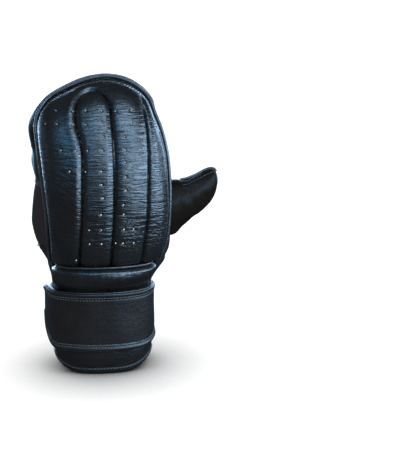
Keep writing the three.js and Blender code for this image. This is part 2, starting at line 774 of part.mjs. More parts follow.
// The lower edge of the cuff: a round tongue at the back, raised at the sides and the slit.
// It is flat over RIM_FLAT_DEG either way of the back's middle and on both palm lobes
function rimHeight(degrees) {
  const whole = degrees % 360;
  const turn = Math.min(whole, 360 - whole);
  const past = clamp((turn - RIM_FLAT_DEG) / (90 - RIM_FLAT_DEG), 0, 1);
  const sides = Math.sin(past * Math.PI / 2) ** 3 * smooth(RIM_PALM_DEG.flat, RIM_PALM_DEG.raised, turn);
  const fromSlit = Math.abs(whole - palmAngle(SLIT_X, 0));
  return RIM_SIDE_RISE * sides + RIM_SLIT_RISE * smooth(RIM_SLIT_DEG.flat, RIM_SLIT_DEG.raised, fromSlit);
}

function slitHalf(height) {
  return lerp(SLIT_MOUTH, SLIT_GAP, smooth(0, CUFF_TOP, height)) / 2;
}

// Wall round the wrist from one side of the slit to the other
function wristWall({ bottom, top, columns, rows, proud, wall, knee }) {
  const level = (a, t) => {
    if (!knee) return lerp(bottom(a), top(a), t);
    return t < 1 ? lerp(bottom(a), knee, t * rows / (rows - 1)) : top(a);
  };
  const grid = (offset) => samples(rows, (t) => samples(columns, (s) => {
    const height = level(lerp(180, 540, s), t);
    const half = slitHalf(height);
    const from = palmAngle(SLIT_X - half, height);
    const to = 360 + palmAngle(SLIT_X + half, height);
    const degrees = lerp(from, to, s);
    return ring(degrees, level(degrees, t), offset);
  }));
  return between(grid(proud), grid(-wall));
}

function cuffWall() {
  return wristWall({
    bottom: (a) => rimHeight(a) + RIM_HEIGHT + GAP,
    top: () => CUFF_TOP,
    columns: 48,
    rows: 4,
    knee: STRAP_BOTTOM,
    proud: 0,
    wall: CUFF_THICK,
  });
}

function cuffBinding() {
  return wristWall({
    bottom: rimHeight,
    top: (a) => rimHeight(a) + RIM_HEIGHT,
    columns: 48,
    rows: 1,
    proud: RIM_PROUD,
    wall: CUFF_THICK + RIM_PROUD,
  });
}

// Strap wound once round the wrist, its free end lying over its start on the little finger's side.
// It climbs onto its start over CLIMB_DEG and stands off a little over FLARE_DEG past it
const CLIMB_DEG = { from: 34, to: 4 };
const FLARE_DEG = 8;
function strapBand() {
  const columns = 48;
  const layer = STRAP_THICK + GAP + STRAP_BORDER_RISE;
  const over = 360 - STRAP_START_DEG;
  const lift = (a) => layer * smooth(CLIMB_DEG.from - over, CLIMB_DEG.to - over, a)
    + STRAP_FLARE * smooth(-over - FLARE_DEG, STRAP_END_DEG, a);
  const sideRise = (a) => {
    const fromSide = (Math.abs(a) % 180 - 90) / STRAP_SIDE_SPAN;
    return STRAP_SIDE_RISE * Math.exp(-(fromSide ** 2));
  };
  const around = CUFF_HALF_WIDTH * DEGREE;
  const rounding = (a, radius) => {
    const left = clamp((a - STRAP_END_DEG) * around, 0, radius);
    return radius - Math.sqrt(radius * radius - (radius - left) ** 2);
  };
  const sunk = STRAP_BORDER + BORDER_SLOPE;
  const levels = [0, STRAP_BORDER, sunk, STRAP_WIDTH - sunk, STRAP_WIDTH - STRAP_BORDER, STRAP_WIDTH];
  const grid = (outer) => levels.map((level, row) => samples(columns, (s) => {
    const a = lerp(STRAP_START_DEG, STRAP_END_DEG, 1 - (1 - s) ** 1.15);
    const low = STRAP_BOTTOM + Math.max(rounding(a, STRAP_CORNER), sideRise(a));
    const high = STRAP_TOP - rounding(a, STRAP_TOP_CORNER);
    const border = row < 2 || row > 3 ? STRAP_BORDER_RISE : 0;
    const offset = GAP + STRAP_SET + lift(a) + (outer ? STRAP_THICK + border : 0);
    return ring(a, lerp(low, high, level / STRAP_WIDTH), offset);
  }));
  return between(grid(true), grid(false));
}

function thumbPiping(clear = 0) {
  const side = seamCurve.getPointAt(THUMB_SEAM_SHARE).x;
  const path = samples(18, (t) => {
    const out = lerp(THUMB_BEAD_SPAN.start, THUMB_BEAD_SPAN.end, t);
    const value = (name) => look(THUMB, 'out', name, out);
    return new THREE.Vector3(side + out * THUMB_REACH, value('back') * THUMB_DEPTH,
      WRIST_SEAM + (value('mid') + value('half')) * THUMB_HEIGHT + THUMB_BEAD_SET);
  });
  return bead(path, FINE_BEAD + clear, 18, 6);
}

const leather = (color, roughness) => new THREE.MeshStandardMaterial({ color, roughness, metalness: 0 });
const BLACK_LEATHER = leather(0x14161c, 0.34);
const CUFF_LEATHER = leather(0x1a1c22, 0.42);
const PIPING = leather(0x2c3442, 0.38);
const MESH = leather(0x241f28, 0.9);

const PIECES = [
  ['back_pad', backPad, BLACK_LEATHER],
  ['pad_piping', padPiping, PIPING],
  ['wrist_roll', wristRoll, BLACK_LEATHER],
  ['roll_piping', rollPiping, PIPING],
  ['finger_cap', fingerCap, BLACK_LEATHER],
  ['grip_bar', gripBar, BLACK_LEATHER],
  ['mesh_welt', meshWelt, PIPING],
  ['palm_mesh', palmMesh, MESH],
  ['mesh_binding', meshBinding, PIPING],
  ['heel_panel', heelPanel, BLACK_LEATHER],
  ['slit_binding', slitBinding, PIPING],
  ['thumb', thumbShell, BLACK_LEATHER],
  ['thumb_piping', thumbPiping, PIPING],
  ['cuff', cuffWall, CUFF_LEATHER],
  ['cuff_binding', cuffBinding, PIPING],
  ['strap', strapBand, CUFF_LEATHER],
];

const group = new THREE.Group();
for (const [name, make, material] of PIECES) {
  const mesh = new THREE.Mesh(make(), material);
  mesh.name = name;
  group.add(mesh);
}

// Stand the glove on the floor with the middle of its footprint at the origin
const box = new THREE.Box3().setFromObject(group);
const middle = box.getCenter(new THREE.Vector3());
group.position.set(-middle.x, -middle.y, -box.min.z);
group.updateMatrixWorld(true);

export default group;
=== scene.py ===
"""Bag glove for the left hand: padded leather, piping, palm mesh, cuff and strap over a fixed frame.

Every shape is worked out in millimetres in the glove's own frame, with its middle over the cuff,
+Z to the fingertips, -Y to the back of the hand and +X to the thumb. Maker.add moves it to the frame.
"""
import logging
import math
from dataclasses import dataclass, field
from enum import Enum
from typing import Callable, Optional

import bpy
import numpy as np
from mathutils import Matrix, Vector


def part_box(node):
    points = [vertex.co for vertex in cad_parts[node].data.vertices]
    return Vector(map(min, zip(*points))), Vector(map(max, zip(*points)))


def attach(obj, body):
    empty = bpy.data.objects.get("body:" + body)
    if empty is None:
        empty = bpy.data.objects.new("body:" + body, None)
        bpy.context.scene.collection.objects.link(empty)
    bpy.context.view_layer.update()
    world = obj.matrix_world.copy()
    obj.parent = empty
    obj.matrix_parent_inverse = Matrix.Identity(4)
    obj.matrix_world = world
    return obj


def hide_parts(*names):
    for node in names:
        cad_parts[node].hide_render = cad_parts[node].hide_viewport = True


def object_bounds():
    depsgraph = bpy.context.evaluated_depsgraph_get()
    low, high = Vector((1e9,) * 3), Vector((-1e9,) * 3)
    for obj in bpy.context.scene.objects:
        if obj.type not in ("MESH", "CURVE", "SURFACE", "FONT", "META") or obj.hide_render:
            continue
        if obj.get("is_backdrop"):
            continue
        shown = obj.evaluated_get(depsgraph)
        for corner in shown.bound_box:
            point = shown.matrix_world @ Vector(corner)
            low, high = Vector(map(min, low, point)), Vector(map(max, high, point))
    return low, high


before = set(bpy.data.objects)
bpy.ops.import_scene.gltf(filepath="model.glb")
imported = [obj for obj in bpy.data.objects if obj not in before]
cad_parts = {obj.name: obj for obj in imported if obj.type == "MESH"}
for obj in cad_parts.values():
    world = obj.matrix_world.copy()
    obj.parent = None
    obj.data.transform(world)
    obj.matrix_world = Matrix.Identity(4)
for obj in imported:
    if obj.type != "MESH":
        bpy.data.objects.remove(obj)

CAD_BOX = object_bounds()
MM = 0.001
Array = np.ndarray
Field = Callable[..., Array]
Colour = tuple[float, float, float]
Marks = tuple[float, ...]
Material = bpy.types.Material
Socket = bpy.types.NodeSocket
log = logging.getLogger("bag_glove")


class Side(Enum):
    """Half of the hand that a panel covers, as the sign of its way out along Y."""

    BACK = -1
    PALM = 1


class Slot(Enum):
    """Material slots of the glove's record."""

    PAD = "pad_leather"
    PALM = "palm_leather"
    PIPING = "piping"
    MESH = "mesh"
    CUFF = "cuff_leather"
    STRAP = "strap_leather"


def blend(start: Array, end: Array, share: Array) -> Array:
    """Straight mix from start to end by share."""
    return start + (end - start) * share


def smooth(low: float, high: float, value: Array) -> Array:
    """Step from 0 at low to 1 at high with level ends: three t squared less two t cubed."""
    t = np.clip((value - low) / (high - low), 0.0, 1.0)
    return t * t * (3.0 - 2.0 * t)


def between(marks: Marks, value: Array) -> Array:
    """Step up between the first two of four marks, times a step down between the last two."""
    return smooth(marks[0], marks[1], value) * smooth(marks[3], marks[2], value)


def bell(distance: Array, width: float) -> Array:
    """Bell curve, 1 where distance is 0: e to the minus square of distance over width."""
    return np.exp(-((distance / width) ** 2))


def across(phi: Array) -> Array:
    """Share of the way from the little finger's seam to the thumb's: half of one less the cosine."""
    return (1.0 - np.cos(phi)) / 2.0


def near_seams(phi: Array) -> Array:
    """From 0 over a side of the hand to 1 at both its seams, in a short smooth step."""
    return smooth(0.42, 0.18, phi) + smooth(0.42, 0.18, math.pi - phi)


def even(value: float) -> Field:
    """Function that gives one value at every place."""
    return lambda *places: np.full_like(places[-1], value)


def unit(vectors: Array) -> Array:
    """Vectors divided by their lengths."""
    return vectors / np.maximum(np.linalg.norm(vectors, axis=-1, keepdims=True), 1e-9)


def lengths_along(path: Array) -> Array:
    """Length of a path up to each of its points."""
    return np.concatenate([[0.0], np.cumsum(np.linalg.norm(np.diff(path, axis=0), axis=1))])


def cubic(start: Array, end: Array, leaving: Array, arriving: Array, t: Array) -> Array:
    """Cubic from start to end, with the two slopes at its ends."""
    rise = end - start
    return (start + leaving * t + (3 * rise - 2 * leaving - arriving) * t ** 2
            + (leaving + arriving - 2 * rise) * t ** 3)


def circle(first: Array, second: Array, sides: int) -> Array:
    """Ring of directions for each pair: one times the cosine of the turn plus the other times its sine."""
    turn = np.linspace(0.0, 2.0 * math.pi, sides, endpoint=False)[:, None]
    return first[..., None, :] * np.cos(turn) + second[..., None, :] * np.sin(turn)


def quads(grid: Array) -> Array:
    """Four-cornered faces of a grid of point numbers, one for each cell."""
    return np.stack([grid[:-1, :-1], grid[:-1, 1:], grid[1:, 1:], grid[1:, :-1]], -1)


def numbered(rows: int, columns: int) -> Array:
    """Grid of point numbers, row by row."""
    return np.arange(rows * columns).reshape(rows, columns)


def tube(grid: Array) -> Array:
    """Faces of a grid of point numbers whose last column is joined to its first."""
    return quads(np.hstack([grid, grid[:, :1]])).reshape(-1, 4)


def ripple(x: Array, y: Array, seed: float = 0.0) -> Array:
    """Soft noise between about -0.7 and 0.7 with one hump to each unit.

    Each corner of a unit grid has a slope of its own, from the fraction of a large sine, and the
    four slopes are blended by a fifth-power step.

    Args:
        x: places along the first direction.
        y: places along the second direction.
        seed: number that gives another pattern.

    Returns:
        The height at each place.
    """
    left, low = np.floor(x), np.floor(y)
    right_share, up_share = x - left, y - low

    def corner(dx: int, dy: int) -> Array:
        """Height that one corner's slope gives at each place."""
        seeded = np.sin((left + dx) * 127.1 + (low + dy) * 311.7 + seed * 74.7) * 43758.5453
        angle = (seeded - np.floor(seeded)) * 2.0 * math.pi
        return np.cos(angle) * (right_share - dx) + np.sin(angle) * (up_share - dy)

    def step(t: Array) -> Array:
        """Fifth-power step from 0 to 1."""
        return t ** 3 * (t * (t * 6.0 - 15.0) + 10.0)

    below = blend(corner(0, 0), corner(1, 0), step(right_share))
    above = blend(corner(0, 1), corner(1, 1), step(right_share))
    return blend(below, above, step(up_share))


def creases(x: Array, y: Array, seed: float = 0.0, width: float = 0.11) -> Array:
    """Fine valleys, 1 in their middle and 0 between them, along the lines where the noise is nought."""
    return bell(ripple(x, y, seed), width)


@dataclass(frozen=True)
class Wave:
    """Unevenness of the leather: a height, the width and length of one hump, and a pattern's number."""

    height: float
    wide: float
    long: float
    seed: float

    def humps(self, x: Array, y: Array) -> Array:
        """Soft humps and hollows at places along the two directions."""
        return self.height * ripple(x / self.wide, y / self.long, self.seed)

    def valleys(self, x: Array, y: Array) -> Array:
        """Depth of fine valleys at places along the two directions."""
        return self.height * creases(x / self.wide, y / self.long, self.seed)


@dataclass(frozen=True)
class Course:
    """A table's column read as a smooth curve through its rows."""

    keys: tuple[float, ...]
    values: tuple[float, ...]

    def at(self, place: Array) -> Array:
        """Value at each place: a cubic in each span whose end slopes are those of the rows beside it.

        Args:
            place: places in the key column.

        Returns:
            The value at each place.
        """
        keys, values = np.asarray(self.keys), np.asarray(self.values)
        place = np.asarray(place, dtype=float)
        row = np.clip(np.searchsorted(keys, place, side="left") - 1, 0, len(keys) - 2)
        rows = np.arange(len(keys))
        before, after = np.maximum(rows - 1, 0), np.minimum(rows + 1, len(keys) - 1)
        slopes = (values[after] - values[before]) / (keys[after] - keys[before])
        span = keys[row + 1] - keys[row]
        t = np.clip((place - keys[row]) / span, 0.0, 1.0)
        return cubic(values[row], values[row + 1], slopes[row] * span, slopes[row + 1] * span, t)


def courses(names: tuple[str, ...], rows: tuple[tuple[float, ...], ...]) -> dict[str, Course]:
    """Courses of a table, one for each column after the first, which holds the keys.

    Args:
        names: names of the columns after the first.
        rows: rows of the table, each with its key first.

    Returns:
        Each name with its course.
    """
    columns = list(zip(*rows))
    return {name: Course(columns[0], columns[i + 1]) for i, name in enumerate(names)}


# Seam round the back pad: share of fist_half across, share of hand_height up, share of seam_set forward
SEAM = (
    (-0.715, 0.000, -0.96), (-0.728, 0.142, -1.00), (-0.748, 0.303, -1.00), (-0.797, 0.495, -0.72),
    (-0.844, 0.663, -0.36), (-0.859, 0.755, 0.00), (-0.805, 0.824, 0.24), (-0.672, 0.888, 0.52),
    (-0.426, 0.941, 0.68), (-0.131, 0.985, 0.88), (0.131, 1.000, 0.96), (0.361, 0.988, 0.88),
    (0.574, 0.950, 0.72), (0.738, 0.892, 0.52), (0.836, 0.799, 0.28), (0.931, 0.700, 0.04),
    (0.998, 0.582, -0.20), (1.023, 0.458, -0.40), (1.023, 0.316, -0.60), (0.984, 0.149, -0.80),
    (0.920, 0.062, -0.92), (0.842, 0.000, -1.00),
)

# Shares of the depths and of the side swell, by share of the hand's height
SECTIONS = courses(("back", "palm", "little", "thumb"), (
    (0.00, 0.71, 1.00, 0.55, 0.80),
    (0.10, 0.80, 0.955, 0.98, 0.70),
    (0.25, 0.90, 0.855, 1.20, 0.48),
    (0.35, 0.95, 0.80, 1.12, 0.42),
    (0.45, 0.98, 0.755, 0.96, 0.40),
    (0.55, 1.00, 0.70, 0.78, 0.36),
    (0.68, 1.00, 0.655, 0.80, 0.28),
    (0.83, 1.00, 0.645, 0.71, 0.24),
    (0.93, 1.00, 0.645, 0.50, 0.24),
    (1.00, 1.00, 0.645, 0.40, 0.24),
))

# Grooves between the ribs: share of fist_half across, by share of the hand's height
GROOVES = courses(("first", "second", "third"), (
    (0.00, -0.300, 0.155, 0.590),
    (0.08, -0.280, 0.175, 0.625),
    (0.26, -0.234, 0.215, 0.685),
    (0.46, -0.211, 0.233, 0.712),
    (0.60, -0.205, 0.232, 0.718),
    (0.68, -0.232, 0.225, 0.716),
    (0.74, -0.277, 0.213, 0.708),
    (0.81, -0.300, 0.200, 0.685),
    (0.895, -0.300, 0.200, 0.634),
))

# Lower edge of the palm mesh: share of the hand's height, by share across
MESH_EDGE = courses(("up",), (
    (0.00, 0.080), (0.20, 0.093), (0.45, 0.111), (0.62, 0.122), (0.74, 0.145),
    (0.82, 0.200), (0.87, 0.290), (0.92, 0.375), (1.00, 0.455),
))["up"]

# Thumb sections by share of its reach: middle and half height, place and half depth, as shares of its sizes
THUMB = courses(("mid", "half", "back", "deep"), (
    (-0.22, 0.83, 0.54, 0.36, 0.50),
    (0.08, 0.90, 0.49, 0.38, 0.50),
    (0.31, 0.975, 0.415, 0.46, 0.47),
    (0.55, 1.085, 0.37, 0.58, 0.44),
    (0.74, 1.18, 0.35, 0.72, 0.40),
    (0.88, 1.26, 0.295, 0.80, 0.33),
    (0.96, 1.31, 0.20, 0.84, 0.23),
    (1.00, 1.33, 0.07, 0.86, 0.08),
))

# Vent holes of the back pad: height, and the places across at that height
VENTS = (
    (229, (-47, -34, -20, -9, 4, 16, 29)),
    (218, (-43, -33, -20, -9, 5, 29)),
    (208, (5, 23)),
    (197, (-30, -18, -8, 4, 23)),
    (187, (23,)),
    (180, (-23, -10, 3)),
    (175, (23,)),
    (169, (3,)),
    (164, (23,)),
    (158, (4,)),
    (152, (21,)),
    (144, (2, 21)),
    (131, (-8, 2, 21, 29)),
    (119, (-8, 2, 14, 20, 29)),
    (104, (-20,)),
)


@dataclass
class HandForm:
    """Smooth skin of the hand and outline of the cuff, which all panels follow."""

    wrist_seam: float = 96.0
    hand_height: float = 161.5
    fist_half: float = 61.0
    seam_set: float = 12.5
    back_depth: float = 38.0
    palm_depth: float = 45.0
    swell: float = 22.0
    top_swell: float = 9.0
    bead: float = 1.7
    fine_bead: float = 1.1
    leather: float = 2.5
    gap: float = 0.3
    half_gap: float = 0.2
    edge_clearance: float = 0.05
    seam_lap: float = 0.3
    left_share: float = 0.30
    right_share: float = 0.70
    cuff_half_width: float = 44.0
    cuff_half_depth: float = 33.2
    cuff_shift: float = 1.2
    cuff_squareness: float = 2.3
    cuff_top: float = 61.7
    rim_share: float = 0.945
    strap_bottom: float = 22.0
    above_strap: float = 75.0
    slit_x: float = -7.0
    slit_gap: float = 3.2
    side_little: float = -78.0
    side_thumb: float = 72.0
    side_split: float = 0.35
    steps_between_knots: int = 80
    slope_step: float = 0.004
    seam_shares: Array = field(init=False)
    seam_points: Array = field(init=False)
    edge_points: Array = field(init=False)

    def __post_init__(self) -> None:
        """Trace the seam by a centripetal Catmull-Rom curve and note its points by share of its length."""
        sizes = np.array([self.fist_half, self.hand_height, self.seam_set])
        knots = (np.array(SEAM) * sizes)[:, [0, 2, 1]] + [0.0, 0.0, self.wrist_seam]
        first, last = 2 * knots[0] - knots[1], 2 * knots[-1] - knots[-2]
        p0, p1 = np.vstack([first, knots[:-2]]), knots[:-1]
        p2, p3 = knots[1:], np.vstack([knots[2:], last])
        d0, d1, d2 = (np.sqrt(np.linalg.norm(b - a, axis=1))[:, None]
                      for a, b in ((p0, p1), (p1, p2), (p2, p3)))
        start = ((p1 - p0) / d0 - (p2 - p0) / (d0 + d1) + (p2 - p1) / d1) * d1
        end = ((p2 - p1) / d1 - (p3 - p1) / (d1 + d2) + (p3 - p2) / d2) * d1
        t = np.linspace(0.0, 1.0, self.steps_between_knots + 1)[:-1, None, None]
        spans = cubic(p1, p2, start, end, t)
        points = np.vstack([spans.transpose(1, 0, 2).reshape(-1, 3), knots[-1:]])
        lengths = lengths_along(points)
        along = np.gradient(points, axis=0)
        flat = np.hypot(along[:, 0], along[:, 2])
        inset = self.bead + self.gap + self.edge_clearance
        inward = np.stack([along[:, 2] / flat, np.zeros_like(flat), -along[:, 0] / flat], -1)
        self.seam_shares = lengths / lengths[-1]
        self.seam_points = points
        self.edge_points = points + inset * inward

    def traced(self, table: Array, share: Array) -> Array:
        """Points of a traced line at shares of the seam's length."""
        return np.stack([np.interp(share, self.seam_shares, table[:, k]) for k in range(3)], -1)

    def seam(self, share: Array) -> Array:
        """Points on the middle line of the seam bead."""
        return self.traced(self.seam_points, share)

    def height(self, share: Array) -> Array:
        """Height at a share of the hand's height."""
        return self.wrist_seam + share * self.hand_height

    def row(self, height: Array) -> Array:
        """Share of the hand's height at a height, below nought under the wrist seam."""
        return (height - self.wrist_seam) / self.hand_height

    def sheet(self, u: Array, v: Array) -> Array:
        """Middle sheet of the hand: its two sides and two ends blended, less their corners' blend.

        Args:
            u: share of the way from the little finger's seam to the thumb's.
            v: share of the way from the wrist seam to the fingertips.

        Returns:
            A point for each pair.
        """
        corners = self.traced(self.edge_points, np.array([0.0, 1.0, self.left_share, self.right_share]))
        u3, v3 = u[..., None], v[..., None]
        sides = blend(
            self.traced(self.edge_points, v * self.left_share),
            self.traced(self.edge_points, 1.0 - v * (1.0 - self.right_share)), u3)
        low, high = blend(corners[0], corners[1], u3), blend(corners[2], corners[3], u3)
        top = self.traced(self.edge_points, blend(self.left_share, self.right_share, u))
        return sides + blend(low, top, v3) - blend(low, high, v3)

    def ring(self, degrees: Array, height: Array, proud: Array = 0.0) -> Array:
        """Outline of the cuff: a superellipse, narrower at the rim.

        Args:
            degrees: 0 at the back of the hand, 90 at the thumb, 180 at the palm.
            height: height above the floor.
            proud: distance outside the outline.

        Returns:
            A point for each set.
        """
        narrow = blend(self.rim_share, 1.0, smooth(0.0, self.strap_bottom - 1.0, height))
        power = 2.0 / self.cuff_squareness
        sine, cosine = np.sin(np.radians(degrees)), np.cos(np.radians(degrees))
        x = self.cuff_shift + (self.cuff_half_width * narrow + proud) * np.sign(sine) * np.abs(sine) ** power
        y = -(self.cuff_half_depth * narrow + proud) * np.sign(cosine) * np.abs(cosine) ** power
        return np.stack(np.broadcast_arrays(x, y, height), -1)

    def skin(self, side: Side, phi: Array, v: Array) -> Array:
        """Skin of the back or of the palm.

        Above the wrist seam the sheet is pushed out by a depth times a power of the sine of phi, and
        closes at the fingertips as the root of one less a power of v. Below it, the skin runs into
        the cuff's outline.

        Args:
            side: the half of the hand.
            phi: 0 at the little finger's seam and pi at the thumb's.
            v: share of the hand's height, below nought under the wrist seam.

        Returns:
            A point for each pair.
        """
        phi, v = np.broadcast_arrays(np.asarray(phi, float), np.asarray(v, float))
        up = np.maximum(v, 0.0)
        sine = np.maximum(np.sin(phi), 0.0)
        back = side is Side.BACK
        full, end_power, side_power = (self.back_depth, 4, 2.3) if back else (self.palm_depth, 6, 2.2)
        depth = SECTIONS["back" if back else "palm"].at(up) * full
        closing = np.sqrt(np.maximum(0.0, 1.0 - up ** end_power))
        at = self.sheet(across(phi), up)
        at[..., 1] += side.value * (self.half_gap + depth * closing * sine ** (2.0 / side_power))
        if not back:
            share = np.where(phi < math.pi / 2, SECTIONS["little"].at(up), SECTIONS["thumb"].at(up))
            at[..., 0] -= self.swell * share * np.sin(2.0 * phi) * closing
            at[..., 2] += 2.0 * self.top_swell * closing * np.sqrt(1.0 - closing ** 2) * sine
        height = self.height(v)
        split = self.side_split * side.value
        little = self.side_little - split + (0.0 if back else 360.0)
        turn = blend(little, self.side_thumb + split, phi / math.pi)
        share = smooth(self.above_strap, self.wrist_seam, height)[..., None]
        low = blend(self.ring(turn, height), at, share)
        low[..., 2] = height
        return np.where((v < 0.0)[..., None], low, at)

    def outward(self, side: Side, phi: Array, v: Array) -> Array:
        """Unit vectors out of the skin: the cross product of its two slopes, taken inside its edges."""
        phi, v = np.broadcast_arrays(np.asarray(phi, float), np.asarray(v, float))
        inside = 0.05 + 0.22 * np.clip(v, 0.0, 1.0) ** 4
        p, w = np.clip(phi, inside, math.pi - inside), np.minimum(v, 0.975)
        step = self.slope_step
        over = self.skin(side, p + step, w) - self.skin(side, p - step, w)
        up = self.skin(side, p, w + step) - self.skin(side, p, w - step)
        return unit(np.cross(over, up) * -side.value)

    def kept_on_side(self, side: Side, phi: Array, v: Array, points: Array) -> Array:
        """Points held on their own side of the sheet between the back and the palm."""
        limit = self.sheet(across(phi), np.maximum(v, 0.0))[..., 1] + side.value * self.half_gap
        held = np.minimum(points[..., 1], limit) if side is Side.BACK else np.maximum(points[..., 1], limit)
        points[..., 1] = np.where(v < 0.0, points[..., 1], held)
        return points

    def row_at(self, u: Array, height: Array) -> Array:
        """Rows at which columns of the sheet reach a height, by halving an interval thirty times."""
        low, high = np.full(np.shape(u), -0.4), np.ones(np.shape(u))
        for _ in range(30):
            mid = (low + high) / 2.0
            z = np.where(mid < 0.0, self.height(mid), self.sheet(u, np.maximum(mid, 0.0))[..., 2])
            low, high = np.where(z < height, mid, low), np.where(z < height, high, mid)
        return (low + high) / 2.0

    def beside(self, seam: Field, u: Array, distance: float) -> Array:
        """Rows beside a seam that crosses the palm, a clear distance above it, or below if negative."""
        step = 0.01
        rise = (seam(u + step) - seam(u - step)) / (4.0 * step * self.fist_half)
        return self.row_at(u, seam(u) + distance * np.hypot(1.0, rise))

    def place(self, side: Side, x: Array, z: Array) -> tuple[Array, Array]:
        """Where on the skin a place seen from the front lies.

        Args:
            side: the half of the hand.
            x: places across.
            z: heights.

        Returns:
            phi and v of each place, by halving intervals of phi while v is corrected by the height.
        """
        x, z = np.broadcast_arrays(np.asarray(x, float), np.asarray(z, float))
        v = self.row(z)
        for _ in range(5):
            low, high = np.full(x.shape, 0.02), np.full(x.shape, math.pi - 0.02)
            for _ in range(24):
                phi = (low + high) / 2.0
                less = self.skin(side, phi, v)[..., 0] < x
                low, high = np.where(less, phi, low), np.where(less, high, phi)
            v = np.minimum(v + (z - self.skin(side, phi, v)[..., 2]) / self.hand_height, 0.99)
        return phi, v

    def laid(self, side: Side, phi: Array, v: Array, rise: Array) -> tuple[Array, Array]:
        """Points raised from the skin, and the way out at each."""
        out = self.outward(side, phi, v)
        return self.skin(side, phi, v) + out * np.asarray(rise)[..., None], out

    def inside_seam(self, start: float, end: float, count: int, distance: float) -> tuple[Array, Array]:
        """Phi and v of places on the back that lie inside the seam as seen from the front.

        Args:
            start: share of the seam's length where they start.
            end: share of the seam's length where they end.
            count: how many places.
            distance: how far inside.

        Returns:
            Both, for each place.
        """
        path = self.seam(np.linspace(start, end, count))
        along = unit(np.gradient(path, axis=0))
        spot = path + np.stack([along[:, 2], along[:, 0] * 0.0, -along[:, 0]], -1) * distance
        return self.place(Side.BACK, spot[:, 0], spot[:, 2])


@dataclass
class Solid:
    """Points and faces of a closed surface, before it becomes a piece."""

    points: Array
    faces: list[Array]
    marks: Optional[Array] = None

    def turned_out(self) -> "Solid":
        """The same solid with its faces pointing out: they are reversed where the volume is negative."""
        volume = 0.0
        for rows in self.faces:
            corners = self.points[rows]
            for k in range(1, rows.shape[1] - 1):
                volume += np.einsum("ij,ij->", corners[:, 0], np.cross(corners[:, k], corners[:, k + 1]))
        if volume < 0:
            self.faces = [rows[:, ::-1] for rows in self.faces]
        return self


def shell(outer: Array, inner: Array) -> Solid:
    """Closed solid between an outer grid and a coarser inner grid over the same shares.

    The rim is a row of faces with several outer corners and two inner ones each.

    Args:
        outer: points of the outer face, rows by columns.
        inner: points of the inner face; its counts of steps divide those of the outer one.

    Returns:
        The solid.
    """
    rows, columns = outer.shape[0] - 1, outer.shape[1] - 1
    low_rows, low_columns = inner.shape[0] - 1, inner.shape[1] - 1
    fine = numbered(rows + 1, columns + 1)
    coarse = fine.size + numbered(low_rows + 1, low_columns + 1)

    def rim(edge: Array, under: Array, steps: int) -> Array:
        """Faces from a fine edge down to a coarse one."""
        starts = np.arange(len(under) - 1) * steps
        fan = edge[starts[:, None] + np.arange(steps + 1)]
        return np.hstack([fan[:, ::-1], under[:-1, None], under[1:, None]])

    by_row, by_column = rows // low_rows, columns // low_columns
    faces = [
        quads(fine).reshape(-1, 4), quads(coarse).reshape(-1, 4)[:, ::-1],
        rim(fine[0], coarse[0], by_column), rim(fine[-1][::-1], coarse[-1][::-1], by_column),
        rim(fine[:, 0][::-1], coarse[:, 0][::-1], by_row), rim(fine[:, -1], coarse[:, -1], by_row),
    ]
    return Solid(np.vstack([outer.reshape(-1, 3), inner.reshape(-1, 3)]), faces).turned_out()


def pierced_shell(outer: Array, inner: Array, kept: Array) -> Solid:
    """Closed solid between two grids of the same size, without the cells that aren't kept.

    Args:
        outer: points of the outer face, rows by columns.
        inner: points of the inner face, as many.
        kept: for each cell, whether it is there.

    Returns:
        The solid, walled round each hole.
    """
    grid = numbered(outer.shape[0], outer.shape[1])
    cells = quads(grid)[kept]
    padded = np.pad(kept, 1)

    def walls(there: Array, start: Array, end: Array) -> Array:
        """Wall faces under the edges from start to end where the cell beyond isn't there."""
        a, b = start[there], end[there]
        return np.stack([b, a, a + grid.size, b + grid.size], -1)

    faces = [
        cells, cells[:, ::-1] + grid.size,
        walls(kept & ~padded[:-2, 1:-1], grid[:-1, :-1], grid[:-1, 1:]),
        walls(kept & ~padded[2:, 1:-1], grid[1:, 1:], grid[1:, :-1]),
        walls(kept & ~padded[1:-1, :-2], grid[1:, :-1], grid[:-1, :-1]),
        walls(kept & ~padded[1:-1, 2:], grid[:-1, 1:], grid[1:, 1:]),
    ]
    points = np.vstack([outer.reshape(-1, 3), inner.reshape(-1, 3)])
    used, numbers = np.unique(np.concatenate([part.ravel() for part in faces]), return_inverse=True)
    cuts = np.cumsum([part.size for part in faces])[:-1]
    faces = [part.reshape(-1, 4) for part in np.split(numbers.ravel(), cuts)]
    return Solid(points[used], faces).turned_out()


def sleeve(rings: Array) -> Solid:
    """Closed solid through rings of points, with a flat face on its first and its last ring."""
    grid = numbered(rings.shape[0], rings.shape[1])
    return Solid(rings.reshape(-1, 3), [tube(grid), grid[:1, ::-1], grid[-1:]]).turned_out()


def bead(path: Array, face: Array, radius: Array, sides: int = 12) -> Solid:
    """Round cord along a path.

    Each ring lies across the path: face made square to the path, and the cross product of the two,
    times the cosine and sine of the turn and the radius.

    Args:
        path: points of the middle line.
        face: a direction out of the surface beneath, one for each point or one for all.
        radius: radius, one for each point or one for all.
        sides: points round each ring.

    Returns:
        The solid.
    """
    along = unit(np.gradient(path, axis=0))
    face = np.broadcast_to(face, path.shape)
    out = unit(face - along * np.sum(face * along, -1, keepdims=True))
    radius = np.broadcast_to(radius, (len(path),))[:, None, None]
    return sleeve(path[:, None] + radius * circle(out, np.cross(along, out), sides))


def joined(solids: list[Solid]) -> Solid:
    """Several solids as one list of points and faces."""
    starts = np.cumsum([0] + [len(part.points) for part in solids])
    faces = [rows + start for part, start in zip(solids, starts) for rows in part.faces]
    return Solid(np.vstack([part.points for part in solids]), faces)


